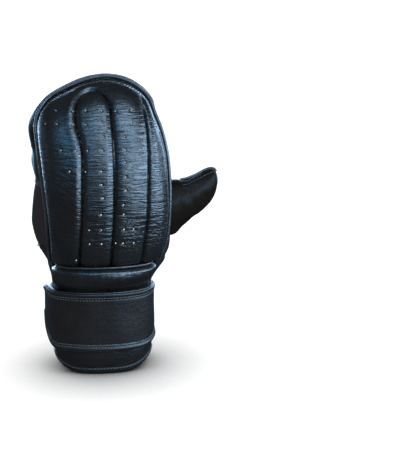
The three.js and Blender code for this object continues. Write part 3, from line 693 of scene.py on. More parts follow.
@dataclass(frozen=True)
class StitchRow:
    """A row of stitches: short rounded threads that dip into the leather at both ends."""

    pitch: float = 3.0
    length: float = 2.2
    radius: float = 0.36
    lift: float = 0.12
    sides: int = 6

    def sewn(self, path: Array, face: Array) -> Solid:
        """Stitches along a path, at even steps of its length.

        Each is six-sided with four rings, whose radii are a third, whole, whole and a third of its
        own, and whose middle two are lifted.

        Args:
            path: points of the row on the leather.
            face: directions out of the leather, one for each point.

        Returns:
            All stitches as one list of points and faces.
        """
        lengths = lengths_along(path)
        count = max(int(lengths[-1] / self.pitch), 1)
        places = (np.arange(count) + 0.5) * lengths[-1] / count
        face = np.broadcast_to(face, path.shape)

        def along_row(values: Array, where: Array) -> Array:
            """Values of the path at lengths along it."""
            return np.stack([np.interp(where, lengths, values[:, k]) for k in range(3)], -1)

        centre, out = along_row(path, places), unit(along_row(face, places))
        ahead = unit(along_row(path, places + 0.5) - along_row(path, places - 0.5))
        stations = np.array([-0.5, -0.3, 0.3, 0.5]) * self.length
        radii = np.array([0.35, 1.0, 1.0, 0.35]) * self.radius
        lifts = np.array([-0.5, 1.0, 1.0, -0.5]) * self.lift
        middle = centre[:, None] + ahead[:, None] * stations[:, None] + out[:, None] * lifts[:, None]
        ring = circle(out, unit(np.cross(ahead, out)), self.sides)
        rings = middle[:, :, None] + ring[:, None] * radii[:, None, None]
        block = numbered(len(stations), self.sides)
        offsets = (np.arange(count) * block.size)[:, None, None]
        caps = np.stack([block[0, ::-1], block[-1]])
        faces = [(tube(block) + offsets).reshape(-1, 4), (caps + offsets).reshape(-1, self.sides)]
        return Solid(rings.reshape(-1, 3), faces).turned_out()


class Nodes:
    """Short way to put shader nodes into a material."""

    def __init__(self, name: str) -> None:
        """Start a material with one principled shader."""
        self.material = bpy.data.materials.new(name)
        self.material.use_nodes = True
        self.tree = self.material.node_tree
        self.shader = next(n for n in self.tree.nodes if n.type == "BSDF_PRINCIPLED")

    def fill(self, node: bpy.types.Node, inputs: dict) -> bpy.types.Node:
        """Set or link inputs of a node.

        Args:
            node: the node.
            inputs: values, or sockets to link, by the input's name or number.

        Returns:
            The node.
        """
        for key, value in inputs.items():
            if isinstance(value, Socket):
                self.tree.links.new(value, node.inputs[key])
            else:
                node.inputs[key].default_value = value
        return node

    def add(self, kind: str, inputs: dict, **settings: object) -> bpy.types.Node:
        """Add a node of a kind, set its properties, and set or link its inputs."""
        node = self.tree.nodes.new(kind)
        for key, value in settings.items():
            setattr(node, key, value)
        return self.fill(node, inputs)

    def shaded(self, inputs: dict) -> Material:
        """The material, once inputs of its shader are set or linked."""
        self.fill(self.shader, inputs)
        return self.material

    def place(self) -> Socket:
        """Places on the piece, in metres."""
        return self.add("ShaderNodeTexCoord", {}).outputs["Object"]

    def marked(self) -> Socket:
        """Marks that the piece carries in an attribute."""
        return self.add("ShaderNodeAttribute", {}, attribute_name="mark").outputs["Fac"]

    def noise(self, scale: float, detail: float, rough: float = 0.5) -> Socket:
        """Noise with so many humps to a metre and so many finer layers."""
        inputs = {"Vector": self.place(), "Scale": scale, "Detail": detail, "Roughness": rough}
        return self.add("ShaderNodeTexNoise", inputs).outputs["Fac"]

    def sum(self, operation: str, first: object, second: object = 0.0) -> Socket:
        """Result of a sum with one or two numbers."""
        return self.add("ShaderNodeMath", {0: first, 1: second}, operation=operation).outputs[0]

    def mapped(self, source: Socket, inputs: dict) -> Socket:
        """A number moved from one span to another."""
        return self.add("ShaderNodeMapRange", {"Value": source, **inputs}).outputs["Result"]

    def bump(self, height: Socket, strength: object, distance: float,
             over: Optional[Socket] = None) -> Socket:
        """Normal that follows a height, laid over another normal if there is one."""
        inputs = {"Height": height, "Strength": strength, "Distance": distance}
        if over is not None:
            inputs["Normal"] = over
        return self.add("ShaderNodeBump", inputs).outputs["Normal"]

    def ramp(self, source: Socket, low: Colour, high: Colour,
             span: tuple[float, float] = (0.3, 0.7)) -> Socket:
        """Colours from low to high over a span of a number."""
        node = self.add("ShaderNodeValToRGB", {"Fac": source})
        for element, place, colour in zip(node.color_ramp.elements, span, (low, high)):
            element.position, element.color = place, (*colour, 1.0)
        return node.outputs["Color"]


@dataclass(frozen=True)
class LeatherFinish:
    """Black leather: fine pebbles, hair-thin creases, uneven gloss and a little colour."""

    name: str
    dark: Colour = (0.0046, 0.0041, 0.0038)
    light: Colour = (0.0080, 0.0078, 0.0080)
    roughness: tuple[float, float] = (0.30, 0.42)
    grain: float = 0.25
    pebble: float = 1100.0
    specular: float = 0.5
    wrinkles: float = 0.0
    wrinkle_scale: tuple[float, float, float] = (30.0, 30.0, 390.0)
    wrinkle_bend: float = 0.7
    valley_half: float = 0.10

    def make(self) -> Material:
        """Build the material: two noises mix the colour and the gloss, and cells and noise make the bump."""
        nodes = Nodes(self.name)
        fine = nodes.noise(420.0, 5.0, 0.6)
        cells = {"Vector": nodes.place(), "Scale": self.pebble}
        pebbles = nodes.add("ShaderNodeTexVoronoi", cells, feature="F1").outputs["Distance"]
        gloss = {"From Min": 0.3, "From Max": 0.7, "To Min": self.roughness[0], "To Max": self.roughness[1]}
        low = nodes.bump(fine, self.grain, 0.0005)
        return nodes.shaded({
            "Base Color": nodes.ramp(nodes.noise(45.0, 4.0), self.dark, self.light),
            "Roughness": nodes.mapped(fine, gloss),
            "Normal": self.wrinkled(nodes, nodes.bump(pebbles, self.grain, 0.00025, low)),
            "Specular IOR Level": self.specular})

    def wrinkled(self, nodes: Nodes, normal: Socket) -> Socket:
        """Normal with long hair-thin wrinkles where the piece is marked.

        They are the valleys where a drawn-out noise is close to a half.
        """
        if not self.wrinkles:
            return normal
        strength = nodes.sum("MULTIPLY", nodes.marked(), self.wrinkles)
        drawn = nodes.add("ShaderNodeMapping", {"Vector": nodes.place(), "Scale": self.wrinkle_scale})
        noise = nodes.add("ShaderNodeTexNoise", {
            "Vector": drawn.outputs["Vector"], "Scale": 1.0, "Detail": 1.0, "Distortion": self.wrinkle_bend})
        away = nodes.sum("ABSOLUTE", nodes.sum("SUBTRACT", noise.outputs["Fac"], 0.5))
        return nodes.bump(nodes.mapped(away, {"From Max": self.valley_half}), strength, 0.0005, normal)


@dataclass(frozen=True)
class MeshFinish:
    """Spacer mesh: dull yarn round holes painted near black, partly the dark layer beneath and partly painted
    shade in them, which the piece marks.
    """

    name: str = "spacer_mesh"
    yarn: Colour = (0.0125, 0.0108, 0.0128)
    # near black: the dark layer under the mesh, with painted shade in the shallow holes
    hole: Colour = (0.002, 0.002, 0.002)

    def make(self) -> Material:
        """Build the material: the marks pick yarn or hole, and a fine noise roughens the yarn."""
        nodes = Nodes(self.name)
        return nodes.shaded({
            "Base Color": nodes.ramp(nodes.marked(), self.yarn, self.hole, (0.25, 0.75)),
            "Normal": nodes.bump(nodes.noise(1500.0, 3.0), 0.6, 0.0004),
            "Roughness": 0.82,
            "Specular IOR Level": 0.08})


@dataclass(frozen=True)
class ThreadFinish:
    """Sewing thread: twisted strands seen as fine slanting waves."""

    name: str = "sewing_thread"
    dark: Colour = (0.030, 0.035, 0.043)
    light: Colour = (0.105, 0.12, 0.14)

    def make(self) -> Material:
        """Build the material: a noise between two greys, and waves for the twist."""
        nodes = Nodes(self.name)
        strands = {"Vector": nodes.place(), "Scale": 1200.0}
        twist = nodes.add("ShaderNodeTexWave", strands, bands_direction="DIAGONAL").outputs["Fac"]
        return nodes.shaded({
            "Base Color": nodes.ramp(nodes.noise(900.0, 2.0), self.dark, self.light),
            "Normal": nodes.bump(twist, 0.5, 0.0002),
            "Roughness": 0.55})


@dataclass(frozen=True)
class VentFinish:
    """Pale foam that shows in the vents, with painted light and shade: grey in the upper ones, nearly white in
    the lower ones.
    """

    name: str = "vent_foam"
    painted_shade_foam: Colour = (0.28, 0.31, 0.34)
    painted_light_foam: Colour = (0.66, 0.68, 0.68)

    def make(self) -> Material:
        """Build the material: the piece's marks pick the tone, from painted shade to painted light."""
        nodes = Nodes(self.name)
        tone = nodes.ramp(nodes.marked(), self.painted_shade_foam, self.painted_light_foam, (0.0, 1.0))
        return nodes.shaded({"Base Color": tone, "Roughness": 0.6})


@dataclass(frozen=True)
class FloorFinish:
    """Pale floor with a painted contact shadow: its colour is darkened where the glove stands close over it."""

    name: str = "pale_floor"
    open_tone: Colour = (0.95, 0.95, 0.95)
    # painted shadow: tone of the floor where the glove closes it in
    painted_shadow_tone: Colour = (0.16, 0.16, 0.165)
    reach: float = 0.10

    def make(self) -> Material:
        """Build the material: how open the floor is to the sky picks the tone, which paints a shadow on the
        floor near the glove.
        """
        nodes = Nodes(self.name)
        opened = nodes.add("ShaderNodeAmbientOcclusion", {"Distance": self.reach}, samples=8).outputs["AO"]
        tone = nodes.ramp(opened, self.painted_shadow_tone, self.open_tone, (0.35, 0.98))
        return nodes.shaded({"Base Color": tone, "Roughness": 0.9, "Specular IOR Level": 0.0})


@dataclass
class Finishes:
    """The glove's materials, each made once. The thumb's is also the finger cap's."""

    pad: Material = field(default_factory=LeatherFinish(
        "pad_leather", roughness=(0.25, 0.36), wrinkles=0.34).make)
    thumb: Material = field(default_factory=LeatherFinish(
        "thumb_leather", (0.0060, 0.0052, 0.0048), (0.0100, 0.0092, 0.0088),
        (0.34, 0.46), specular=0.034).make)
    palm: Material = field(default_factory=LeatherFinish(
        "palm_leather", (0.0060, 0.0050, 0.0042), (0.0092, 0.0080, 0.0072), (0.30, 0.40), specular=0.42).make)
    cuff: Material = field(default_factory=LeatherFinish(
        "cuff_leather", (0.0066, 0.0056, 0.0049), (0.0112, 0.0100, 0.0094), (0.34, 0.46), specular=0.32).make)
    piping: Material = field(default_factory=LeatherFinish(
        "piping_leather", (0.010, 0.011, 0.013), (0.020, 0.023, 0.029), (0.26, 0.36)).make)
    # the pale bluish colour of the mesh binding's cord is a painted highlight
    cord: Material = field(default_factory=LeatherFinish(
        "cord_painted_highlight", (0.070, 0.088, 0.105), (0.12, 0.15, 0.18), (0.26, 0.36)).make)
    mesh: Material = field(default_factory=MeshFinish().make)
    thread: Material = field(default_factory=ThreadFinish().make)
    vent: Material = field(default_factory=VentFinish().make)


@dataclass
class Maker:
    """Puts solids into the scene as pieces of the glove."""

    form: HandForm
    shift: Array = field(init=False)

    def __post_init__(self) -> None:
        """Find where the frame has the middle of the cuff, which the glove's own frame knows too."""
        low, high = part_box("cuff")
        middle = (np.array(low) + np.array(high)) / 2.0 / MM
        self.shift = np.array([middle[0] - self.form.cuff_shift, middle[1], 0.0])

    def framed(self, points: Array) -> Array:
        """Millimetres of the glove's own frame as metres of the scene's."""
        return (points + self.shift) * MM

    def add(self, name: str, solid: Solid, material: Material, slot: Slot, *nodes: str) -> bpy.types.Object:
        """Make a piece of a solid.

        Args:
            name: name of the piece.
            solid: its points and faces.
            material: its finish.
            slot: the material slot of the record that it belongs to; not used.
            *nodes: the nodes that it stands for.

        Returns:
            The piece, riding on the glove.
        """
        mesh = bpy.data.meshes.new(name)
        faces = [face for rows in solid.faces for face in rows.tolist()]
        mesh.from_pydata(self.framed(solid.points), [], faces)
        mesh.shade_smooth()
        mesh.set_sharp_from_angle(angle=math.radians(50.0))
        mesh.materials.append(material)
        if solid.marks is not None:
            marks = mesh.attributes.new("mark", "FLOAT", "POINT")
            marks.data.foreach_set("value", solid.marks.astype(np.float32))
        piece = bpy.data.objects.new(name, mesh)
        bpy.context.scene.collection.objects.link(piece)
        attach(piece, "root")
        if nodes:
            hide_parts(*nodes)
        log.info("%s: %d faces", name, len(faces))
        return piece


@dataclass
class Panel:
    """A sewn panel of the skin, worked out on a grid of phi and v.

    Its bottom and top are rows by share across. Its relief is the height over the skin by phi, v and
    the distances from both edges, and its wall the depth under the skin by phi and v.
    """

    form: HandForm
    side: Side
    bottom: Field
    top: Field
    relief: Field
    wall: Field
    columns: int
    rows: int
    coarse: int = 5
    end_power: float = 1.0
    knee: Optional[float] = None
    knee_share: float = 2.0 / 11.0

    def grid(self) -> tuple[Array, Array]:
        """Phi and v of each point."""
        phi = math.pi * np.linspace(0.0, 1.0, self.columns + 1)
        share = (1.0 - (1.0 - np.linspace(0.0, 1.0, self.rows + 1)) ** self.end_power)[:, None]
        low, high = self.bottom(across(phi)), self.top(across(phi))
        v = blend(low, high, share)
        if self.knee is not None:
            bend, foot = self.form.row(self.knee), self.knee_share
            v = np.where(share < foot, blend(low, bend, share / foot),
                         blend(bend, high, (share - foot) / (1.0 - foot)))
        return np.broadcast_to(phi, v.shape), v

    def faces(self) -> tuple[Array, Array]:
        """Outer and inner points: the skin plus or less its way out times relief or wall."""
        phi, v = self.grid()
        low, high = (v - v[0]) * self.form.hand_height, (v[-1] - v) * self.form.hand_height
        outer, _ = self.form.laid(self.side, phi, v, self.relief(phi, v, low, high))
        inner, _ = self.form.laid(self.side, phi, v, -self.wall(phi, v))
        kept = self.form.kept_on_side
        return kept(self.side, phi, v, outer), kept(self.side, phi, v, inner)

    def solid(self, marks: Optional[Field] = None) -> Solid:
        """The panel as a closed solid, its inner face with fewer points.

        Args:
            marks: marks of the outer face by phi and v; the inner face's are nought.

        Returns:
            The solid.
        """
        outer, inner = self.faces()
        solid = shell(outer, inner[::self.coarse, ::self.coarse])
        if marks is not None:
            phi, v = self.grid()
            solid.marks = np.zeros(len(solid.points))
            solid.marks[:v.size] = marks(phi, v).ravel()
        return solid


def edge_roll(distance: Array, radius: float, depth: float) -> Array:
    """How far a folded edge drops near its seam: a quarter of an ellipse, nought past the radius."""
    t = np.clip(1.0 - distance / radius, 0.0, 1.0)
    return depth * (1.0 - np.sqrt(1.0 - t * t))


@dataclass
class Assembly:
    """A sub-assembly: the form that it follows, and what makes and finishes its pieces."""

    form: HandForm
    maker: Maker
    finishes: Finishes

    def foot(self) -> float:
        """Row just above the top of the cuff, where the leather under the strap begins."""
        return self.form.row(self.form.cuff_top + self.form.gap)

    def sew(self, name: str, rows: list[Solid], slot: Slot) -> bpy.types.Object:
        """Make a piece of rows of stitches."""
        return self.maker.add(name, joined(rows), self.finishes.thread, slot)


@dataclass
class PaddedBack(Assembly):
    """Ribbed pad over the back of the hand, its vents, its edge stitches and the bead round it."""

    pad_thick: float = 20.0
    pad_edge: float = 4.0
    groove_depth: float = 2.0
    groove_width: float = 7.0
    groove_power: float = 2.3
    crease_depth: float = 1.6
    crease_width: float = 0.85
    arch_foot: float = 0.81
    arch_top: float = 0.94
    third_end: Marks = (0.82, 0.98)
    third_away: float = 8.0
    ridge_rise: float = 0.45
    ridge_out: float = 5.0
    ridge_width: float = 3.6
    ridge_span: Marks = (2.0, -18.0)
    rib_rise: float = 0.9
    rib_width: float = 9.0
    first_rib: Marks = (-12.0, -20.0)
    creased_rows: Marks = (112.0, 135.0, 215.0, 238.0)
    crossed_rows: Marks = (104.0, 116.0, 130.0, 150.0)
    marked_rows: Marks = (104.0, 125.0, 222.0, 244.0)
    level_depth: float = 0.10
    sway: Wave = Wave(0.9, 30.0, 16.0, 3.0)
    slant: Wave = Wave(1.5, 26.0, 4.2, 4.0)
    cross: Wave = Wave(0.12, 14.0, 5.5, 5.0)
    other_cross: Wave = Wave(0.12, 14.0, 5.2, 6.0)
    faint: Wave = Wave(0.08, 11.0, 6.0, 8.0)
    soft: Wave = Wave(0.5, 26.0, 30.0, 9.0)
    pucker: Wave = Wave(0.22, 4.5, 20.0, 10.0)
    gather: Wave = Wave(0.6, 4.0, 40.0, 11.0)
    gather_reach: float = 7.0
    side_width: float = 26.0
    foot_tuck: float = 3.5
    vent_depth: float = 0.55
    vent_width: float = 1.15
    vent_radius: float = 0.62
    # heights between which the vents' painted shade turns to painted light
    vent_painted_light_heights: Marks = (215.0, 155.0)
    bead_set_back: float = 0.8
    edge_row: StitchRow = StitchRow(2.6, 1.8, 0.4)
    edge_inset: float = 4.2
    cord_inset: float = 3.4
    cord_radius: float = 0.55
    far: float = 99.0

    def groove_x(self, name: str, z: Array) -> Array:
        """Place across of a groove at a height."""
        return GROOVES[name].at(self.form.row(z)) * self.form.fist_half

    def to_grooves(self, x: Array, z: Array) -> tuple[Array, Array]:
        """Distance to the nearest groove, and signed distance out of the arched second rib.

        Below the foot of the arch the grooves are three lines. Above it the first two are half an
        ellipse, whose distance is the elliptic radius less one, times the mean half width. The third
        is put further away where it runs out.

        Args:
            x: places across.
            z: heights.

        Returns:
            Both distances.
        """
        foot = self.form.height(self.arch_foot)
        left, right = self.groove_x("first", np.array(foot)), self.groove_x("second", np.array(foot))
        middle, reach = (left + right) / 2.0, (right - left) / 2.0
        rise = self.form.height(self.arch_top) - foot
        fading = smooth(*(self.form.height(share) for share in self.third_end), z)
        third = np.abs(x - self.groove_x("third", z)) + self.third_away * fading
        sides = np.maximum(self.groove_x("first", z) - x, x - self.groove_x("second", z))
        round_top = (np.hypot((x - middle) / reach, (z - foot) / rise) - 1.0) * (reach + rise) / 2.0
        rib = np.where(z <= foot, sides, round_top)
        return np.minimum(np.abs(rib), third), rib

    def wrinkles(self, x: Array, z: Array) -> Array:
        """Depth of the creases.

        They are long and level over the middle, slanting on the first rib, crossed low down and
        faint at the fingertips.

        Args:
            x: places across.
            z: heights.

        Returns:
            The depth at each place.
        """
        first = smooth(*self.first_rib, x)
        sway = self.sway.humps(x, z)
        level = creases(x / 24.0, z / 3.4 + sway, 1.0) + 0.7 * creases(x / 15.0 + 7.0, z / 2.4 + sway, 2.0)
        fan = z + 0.55 * (x + 45.0) * smooth(215.0, 150.0, z)
        long = self.level_depth * blend(level, self.slant.valleys(x, fan), first)
        crossed = self.cross.valleys(x + z, x - z) + self.other_cross.valleys(x - z, x + z)
        faint = self.faint.valleys(x, z) * smooth(225.0, 240.0, z)
        crossed = crossed * between(self.crossed_rows, z) * (1.0 - 0.5 * first)
        return between(self.creased_rows, z) * long + crossed + faint

    def wrinkle_marks(self, phi: Array, v: Array) -> Array:
        """Where hair-thin level wrinkles run: over the ribs, less at the fingertips and on the first rib."""
        at = self.form.skin(Side.BACK, phi, v)
        return between(self.marked_rows, at[..., 2]) * blend(0.45, 1.0, smooth(-22.0, -8.0, at[..., 0]))

    def vents(self) -> Array:
        """Places across and heights of the vents."""
        return np.array([(x, height) for height, places in VENTS for x in places], float)

    def relief(self, phi: Array, v: Array, low: Array, high: Array) -> Array:
        """Height of the pad's leather over the skin.

        Grooves sink it by a power of the distance and a narrow bell, each rib swells between them,
        the leather outside the arch stands up as a ridge, creases and vents are cut in, and the foot
        is tucked under.

        Args:
            phi: places across.
            v: places up.
            low: distances from the lower edge.
            high: distances from the upper edge; not used.

        Returns:
            The height at each place.
        """
        at = self.form.skin(Side.BACK, phi, v)
        x, z = at[..., 0], at[..., 2]
        near, rib = self.to_grooves(x, z)
        side = np.minimum(phi, math.pi - phi)
        fade = smooth(0.0, 0.30, phi) * smooth(0.0, 0.30, math.pi - phi) * smooth(1.0, 0.97, v)
        groove = self.groove_depth * np.maximum(0.0, 1.0 - near / self.groove_width) ** self.groove_power
        groove = groove + self.crease_depth * bell(near, self.crease_width)
        beyond = smooth(*self.ridge_span, x - self.groove_x("second", z))
        ridge = self.ridge_rise * bell(rib - self.ridge_out, self.ridge_width) * beyond
        puff = self.rib_rise * np.tanh(near / self.rib_width) + self.soft.humps(x, z)
        rim = side * self.side_width
        pucker = self.pucker.humps(z, rim) * bell(rim, self.gather_reach) * smooth(0.0, 0.06, v)
        holes = sum(bell(np.hypot(x - vx, z - vz), self.vent_width) for vx, vz in self.vents())
        tuck = self.foot_tuck * (1.0 - smooth(0.0, 0.05, v)) ** 2
        body = ridge + puff - groove - self.wrinkles(x, z) - self.vent_depth * holes + pucker
        return fade * body - tuck + self.gather.humps(x, z) * bell(low, self.gather_reach)

    def on_pad(self, phi: Array, v: Array, lift: float = 0.0) -> tuple[Array, Array]:
        """Points on the pad's leather, lifted a little, and the way out at each."""
        rise = self.relief(phi, v, v * self.form.hand_height, np.full_like(v, self.far))
        return self.form.laid(Side.BACK, phi, v, rise + lift)

    def pad(self) -> bpy.types.Object:
        """The ribbed pad: thick in the middle, thin at its seam and its fingertip edge."""
        wall_span = self.pad_thick - self.pad_edge

        def wall(phi: Array, v: Array) -> Array:
            """Thickness of the padding: the sine of phi times the closing of the fingertips."""
            closing = np.sqrt(np.maximum(0.0, 1.0 - np.maximum(v, 0.0) ** 4))
            return self.pad_edge + wall_span * np.sin(phi) * closing * smooth(-0.12, 0.15, v)

        foot = even(-self.form.seam_lap / self.form.hand_height)
        panel = Panel(self.form, Side.BACK, foot, np.ones_like, self.relief, wall,
                      columns=270, rows=340, end_power=1.15)
        solid = panel.solid(self.wrinkle_marks)
        piece = self.maker.add("padded_back", solid, self.finishes.pad, Slot.PAD, "back_pad")
        return piece

    def vent_plugs(self) -> bpy.types.Object:
        """Pale foam at the bottom of each vent: a low dome of three rings, marked by height for its painted
        light and shade.
        """
        vents = self.vents()
        centre, out = self.on_pad(*self.form.place(Side.BACK, vents[:, 0], vents[:, 1]), -0.05)
        flank = unit(np.cross(out, [0.0, 0.0, 1.0]))
        radii, lifts = np.array([0.9, 1.0, 0.5]) * self.vent_radius, np.array([-0.5, 0.1, 0.35])
        ring = circle(flank, np.cross(flank, out), 8)[:, None] * radii[:, None, None]
        rings = centre[:, None, None] + ring + (out[:, None] * lifts[:, None])[:, :, None]
        plugs = joined([sleeve(rows) for rows in rings])
        # painted light and shade: upper vents greyer, lower ones nearly white
        plugs.marks = smooth(*self.vent_painted_light_heights, plugs.points[:, 2])
        return self.maker.add("vent_plugs", plugs, self.finishes.vent, Slot.PAD)

    def piping(self) -> bpy.types.Object:
        """Bead in the seam between the back and the palm, slightly uneven."""
        share = np.linspace(0.008, 0.992, 520)
        path = self.form.seam(share)
        path[:, 1] -= self.bead_set_back
        radius = self.form.bead * (1.0 + 0.05 * ripple(share * 160.0, share * 0.0, 12.0))
        solid = bead(path, np.array([0.0, -1.0, 0.0]), radius, 14)
        return self.maker.add("seam_bead", solid, self.finishes.piping, Slot.PIPING, "pad_piping")

    def edge_stitches(self) -> bpy.types.Object:
        """Stitches just inside the bead, along the little finger's side and over the fingertips."""
        rows = []
        for start, end in ((0.03, 0.29), (0.33, 0.69)):
            path, out = self.on_pad(*self.form.inside_seam(start, end, 200, self.edge_inset))
            rows.append(self.edge_row.sewn(path, out))
        return self.sew("pad_edge_stitches", rows, Slot.PIPING)

    def inner_piping(self) -> bpy.types.Object:
        """Thin cord beside the bead on the thumb's side."""
        path, out = self.on_pad(*self.form.inside_seam(0.70, 0.975, 320, self.cord_inset))
        solid = bead(path, out, self.cord_radius, 8)
        return self.maker.add("pad_edge_cord", solid, self.finishes.piping, Slot.PIPING)

    def build(self) -> None:
        """Make the pad and what is sewn on it."""
        self.pad()
        self.vent_plugs()
        self.piping()
        self.inner_piping()
        self.edge_stitches()


@dataclass
class WristRoll(Assembly):
    """Padded roll over the back of the wrist, and the fine bead above it."""

    rise: float = 5.0
    roll_power: float = 1.1
    side_power: float = 0.6
    thick: float = 10.0
    tuck: float = 2.5
    pinch: Wave = Wave(0.35, 5.0, 30.0, 20.0)
    fine: Wave = Wave(0.10, 18.0, 3.0, 21.0)
    bead_end: float = 0.16
    bead_sink: float = 1.6
    bead_dive: float = 2.0

    def relief(self, phi: Array, v: Array, low: Array, high: Array) -> Array:
        """Roll over the skin: a power of half a sine wave between the strap and the seam, with creases."""
        height = self.form.height(v)
        span = self.form.wrist_seam - self.form.above_strap
        t = np.clip((height - self.form.above_strap) / span, 0.0, 1.0)
        x = self.form.skin(Side.BACK, phi, v)[..., 0]
        pinch = self.pinch.humps(x, height) * smooth(0.0, 0.3, t)
        fine = self.fine.valleys(x, height) * smooth(0.0, 0.2, t)
        body = self.rise * np.sin(math.pi * t) ** self.roll_power + pinch - fine
        return np.maximum(np.sin(phi), 0.0) ** self.side_power * body - self.tuck * smooth(0.85, 1.0, t)

    def wall(self, phi: Array, v: Array) -> Array:
        """Leather alone under the strap, and padding towards the seam."""
        padding = smooth(self.form.above_strap - 1.0, self.form.wrist_seam, self.form.height(v))
        return self.form.leather + (self.thick - self.rise) * padding * np.sin(phi)

    def build(self) -> None:
        """Make the roll, which laps under the pad, and its bead, which dives in at both ends."""
        top = self.form.seam_lap / self.form.hand_height
        panel = Panel(self.form, Side.BACK, even(self.foot()), even(top), self.relief, self.wall,
                      columns=260, rows=75, knee=self.form.above_strap)
        piece = self.maker.add("padded_wrist_roll", panel.solid(), self.finishes.pad, Slot.PAD, "wrist_roll")
        phi = np.linspace(self.bead_end, math.pi - self.bead_end, 260)
        out = self.form.outward(Side.BACK, phi, np.full_like(phi, 0.01))
        sunk = (self.bead_sink + self.bead_dive * near_seams(phi))[:, None]
        path = self.form.skin(Side.BACK, phi, np.full_like(phi, 0.0003)) - sunk * out
        radius = self.form.fine_bead * (1.0 + 0.06 * ripple(phi * 30.0, phi, 22.0))
        self.maker.add("roll_bead", bead(path, out, radius), self.finishes.piping, Slot.PIPING, "roll_piping")


